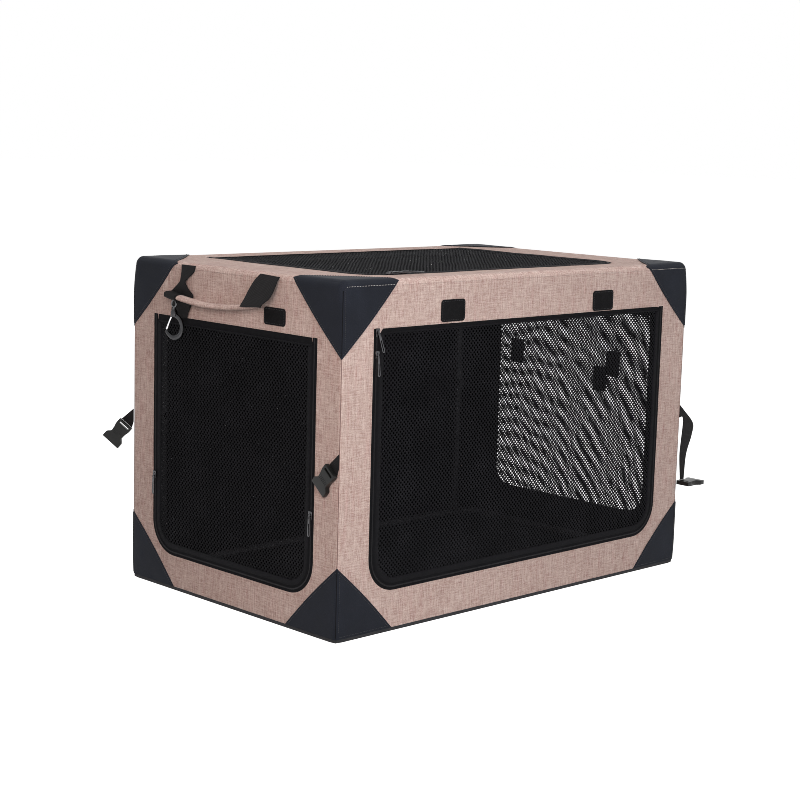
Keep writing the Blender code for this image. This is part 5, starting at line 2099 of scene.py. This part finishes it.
@dataclass
class Studio:
    """The pale floor, the white background, soft lights and the camera."""

    azimuth: float = radians(44.27)
    elevation: float = radians(8.74)
    roll: float = radians(1.59)
    distance: float = 3.363
    aim_right: float = -0.0314
    aim_up: float = 0.3300
    lens: float = 79.17
    world_light: float = 0.16
    floor_size: float = 60.0
    floor_glow: float = 0.915
    floor_tint: float = 0.60
    floor_bounce: float = 0.30
    sharpness: float = 0.9
    sensor: float = 36.0
    clip: tuple[float, float] = (0.1, 200.0)
    floor_drop: float = 0.0005
    lamp_aim: float = 0.3
    lamps: tuple = (
        ("key", (-1.0, -2.2, 1.1), 1.0, 24.0, (0.90, 0.97, 1.0)),
        ("left", (-2.2, -1.6, 1.2), 1.0, 36.0, (1.0, 0.84, 0.78)),
        ("front", (1.6, -3.2, 1.6), 2.0, 23.0, (1.0, 0.86, 0.82)),
        ("above", (0.0, 0.2, 3.6), 2.6, 55.0, (1.0, 1.0, 1.0)),
    )

    def build(self) -> None:
        """Adds everything round the crate."""
        self._camera()
        self._world()
        self._floor()
        for name, place, size, power, tint in self.lamps:
            self._lamp(name, place, size, power, tint)
        scene = bpy.context.scene
        scene.view_settings.view_transform = "Standard"
        scene.cycles.filter_width = self.sharpness
        scene.cycles.denoising_prefilter = "NONE"

    def _camera(self) -> None:
        """The photograph's view."""
        level_share = cos(self.elevation)
        ahead = Vector(
            (sin(self.azimuth) * level_share, cos(self.azimuth) * level_share, -sin(self.elevation))
        )
        level = Vector((cos(self.azimuth), -sin(self.azimuth), 0.0))
        up = level.cross(ahead)
        right = level * cos(self.roll) + up * sin(self.roll)
        top = up * cos(self.roll) - level * sin(self.roll)
        data = bpy.data.cameras.new("camera")
        data.lens, data.sensor_width = self.lens, self.sensor
        data.clip_start, data.clip_end = self.clip
        camera = linked("camera", data)
        place = Matrix((right, top, -ahead)).transposed().to_4x4()
        place.translation = level * self.aim_right + Z_AXIS * self.aim_up - ahead * self.distance
        camera.matrix_world = place
        bpy.context.scene.camera = camera

    def _world(self) -> None:
        """White to the camera and in reflections, and a softer light on the object."""
        world = bpy.data.worlds.new("studio")
        bpy.context.scene.world = world
        tree = Tree(world)
        plain = tree.add("ShaderNodeBackground", {}, {"Color": WHITE, "Strength": self.world_light})
        white = tree.add("ShaderNodeBackground", {}, {"Color": WHITE})
        tree.end("ShaderNodeOutputWorld", tree.blend(tree.seen(), plain, white))

    def _floor(self) -> None:
        """A wide pale floor that keeps the crate's shadow."""
        bm = bmesh.new()
        bmesh.ops.create_grid(bm, x_segments=4, y_segments=4, size=self.floor_size / 2)
        bmesh.ops.translate(bm, verts=bm.verts, vec=(0.0, 0.0, -self.floor_drop))
        floor = linked("studio_floor", mesh_of(bm, "studio_floor"))
        material = bpy.data.materials.new("studio_floor")
        tree = Tree(material)
        seen = tree.seen()
        pale = tree.add("ShaderNodeBsdfDiffuse", {}, {"Color": (self.floor_bounce,) * 3})
        thin = tree.add("ShaderNodeBsdfDiffuse", {}, {"Color": (self.floor_tint,) * 3})
        glow = tree.add("ShaderNodeEmission", {}, {"Color": WHITE, "Strength": self.floor_glow})
        bright = tree.add("ShaderNodeAddShader", {}, {0: thin.outputs[0], 1: glow.outputs[0]})
        tree.end("ShaderNodeOutputMaterial", tree.blend(seen, pale, bright))
        floor.data.materials.append(material)

    def _lamp(self, name: str, place: Colour, size: float, power: float, tint: Colour) -> None:
        """A soft area lamp that looks at the crate."""
        data = bpy.data.lights.new(name, "AREA")
        data.size, data.energy, data.color = size, power, tint
        lamp = linked(name, data)
        back = Vector(place) - Vector((0.0, 0.0, self.lamp_aim))
        turn = back.to_track_quat("Z", "Y").to_matrix().to_4x4()
        turn.translation = Vector(place)
        lamp.matrix_world = turn
        lamp.visible_camera = lamp.visible_glossy = False


@dataclass
class DogCrate:
    """The whole crate, from its frame out."""

    front_door: Doorway = field(
        default_factory=lambda: Doorway(Side.FRONT, (-0.3715, 0.082), (0.3715, 0.512), sewn_rise=0.0055)
    )
    left_door: Doorway = field(default_factory=lambda: Doorway(Side.LEFT, (-0.2115, 0.074), (0.2115, 0.490)))
    right_door: Doorway = field(default_factory=lambda: Doorway(Side.RIGHT, (-0.2115, 0.074), (0.2115, 0.490)))
    roof_door: Doorway = field(
        default_factory=lambda: Doorway(Side.ROOF, (-0.3265, -0.2085), (0.3265, 0.2135), sewn_rise=0.0060)
    )

    def build(self, frame: dict) -> None:
        """Builds every sub-assembly in order.
        """
        TubeFrame().build(frame)
        rows = (
            ("front", Side.FRONT, SKIN_X, self.front_door, 1.0),
            ("rear", Side.REAR, SKIN_X, None, 2.0),
            ("left", Side.LEFT, SKIN_Y, self.left_door, 3.0),
            ("right", Side.RIGHT, SKIN_Y, self.right_door, 4.0),
        )
        for name, side, half, doorway, seed in rows:
            panel = Panel(side, (-half, WALL_FOOT), (half, WALL_HEAD), seed=seed, tuck=0.0018)
            wall = CoverPanel(f"{name}_cover", panel, f"{name}_wall", "base", Crumple.TO_BASE, doorway)
            wall.build()
            if doorway:
                door = NetDoor(f"{name}_door", doorway, panel, f"{name}_door", "base", Crumple.TO_BASE)
                door.netting = CLOSE_NETTING if side is Side.RIGHT else NETTING
                door.build()
        self._roof()
        self._floor()
        for place, sx, sy in CORNERS:
            for high in (False, True):
                CornerPatch(place, sx, sy, high).build()
        Piping().build()
        LoopPatches().build()
        CarryHandle().build()
        SnapHook().build()
        SideStraps().build()
        NetTabs().build()
        self._sliders()

    def _roof(self) -> None:
        """The roof panel and its door."""
        panel = Panel(Side.ROOF, (-SKIN_X, -SKIN_Y), (SKIN_X, SKIN_Y), seed=5.0)
        roof = CoverPanel("roof_cover", panel, "top_panel", "top", Crumple.NONE, self.roof_door)
        roof.rests_on, roof.flap = ("top_frame",), ROOF_FLAP
        roof.build()
        NetDoor("top_door", self.roof_door, panel, "top_door", "top", Crumple.NONE).build()

    def _floor(self) -> None:
        """The floor panel, under the whole crate."""
        panel = Panel(Side.ROOF, (-SKIN_X, -SKIN_Y), (SKIN_X, SKIN_Y), slack=0.0)
        floor = FloorPanel("floor_cover", panel, "floor_panel", "base", Crumple.NONE, None, 0.0039)
        floor.outside = floor.inside = FLOOR_CLOTH
        floor.slot, floor.rests_on, floor.held = "floor_cloth", ("base_frame",), "laid"
        floor.build()

    def _sliders(self) -> None:
        """The two sliders of each door's zip."""
        half, head = self.front_door.high
        line = half + SLIDER_OFFSET
        for number, (drop, tilt) in enumerate(((0.012, radians(20)), (0.049, radians(4))), 1):
            at = head + ZIP_BAND - drop
            ZipSlider(f"front_slider_{number}", Side.FRONT, -line, at, tilt, Crumple.TO_BASE).build()
        line = self.left_door.high[0] + SLIDER_OFFSET
        for name, side in (("left", Side.LEFT), ("right", Side.RIGHT)):
            for number, sign in ((1, -1), (2, 1)):
                ZipSlider(f"{name}_slider_{number}", side, sign * line, 0.205, 0.0, Crumple.TO_BASE).build()
        v = self.roof_door.low[1] - SLIDER_OFFSET
        for number, inset in ((1, 0.042), (2, 0.074)):
            u = self.roof_door.low[0] + inset
            ZipSlider(f"top_slider_{number}", Side.ROOF, u, v, radians(40), Crumple.NONE).build()


def main() -> None:
    """Loads the frame, dresses the crate and sets up the studio."""
    logging.basicConfig(level=logging.INFO, format="%(message)s")
    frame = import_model()
    Studio().build()
    DogCrate().build(frame)


if __name__ == "__main__":
    main()
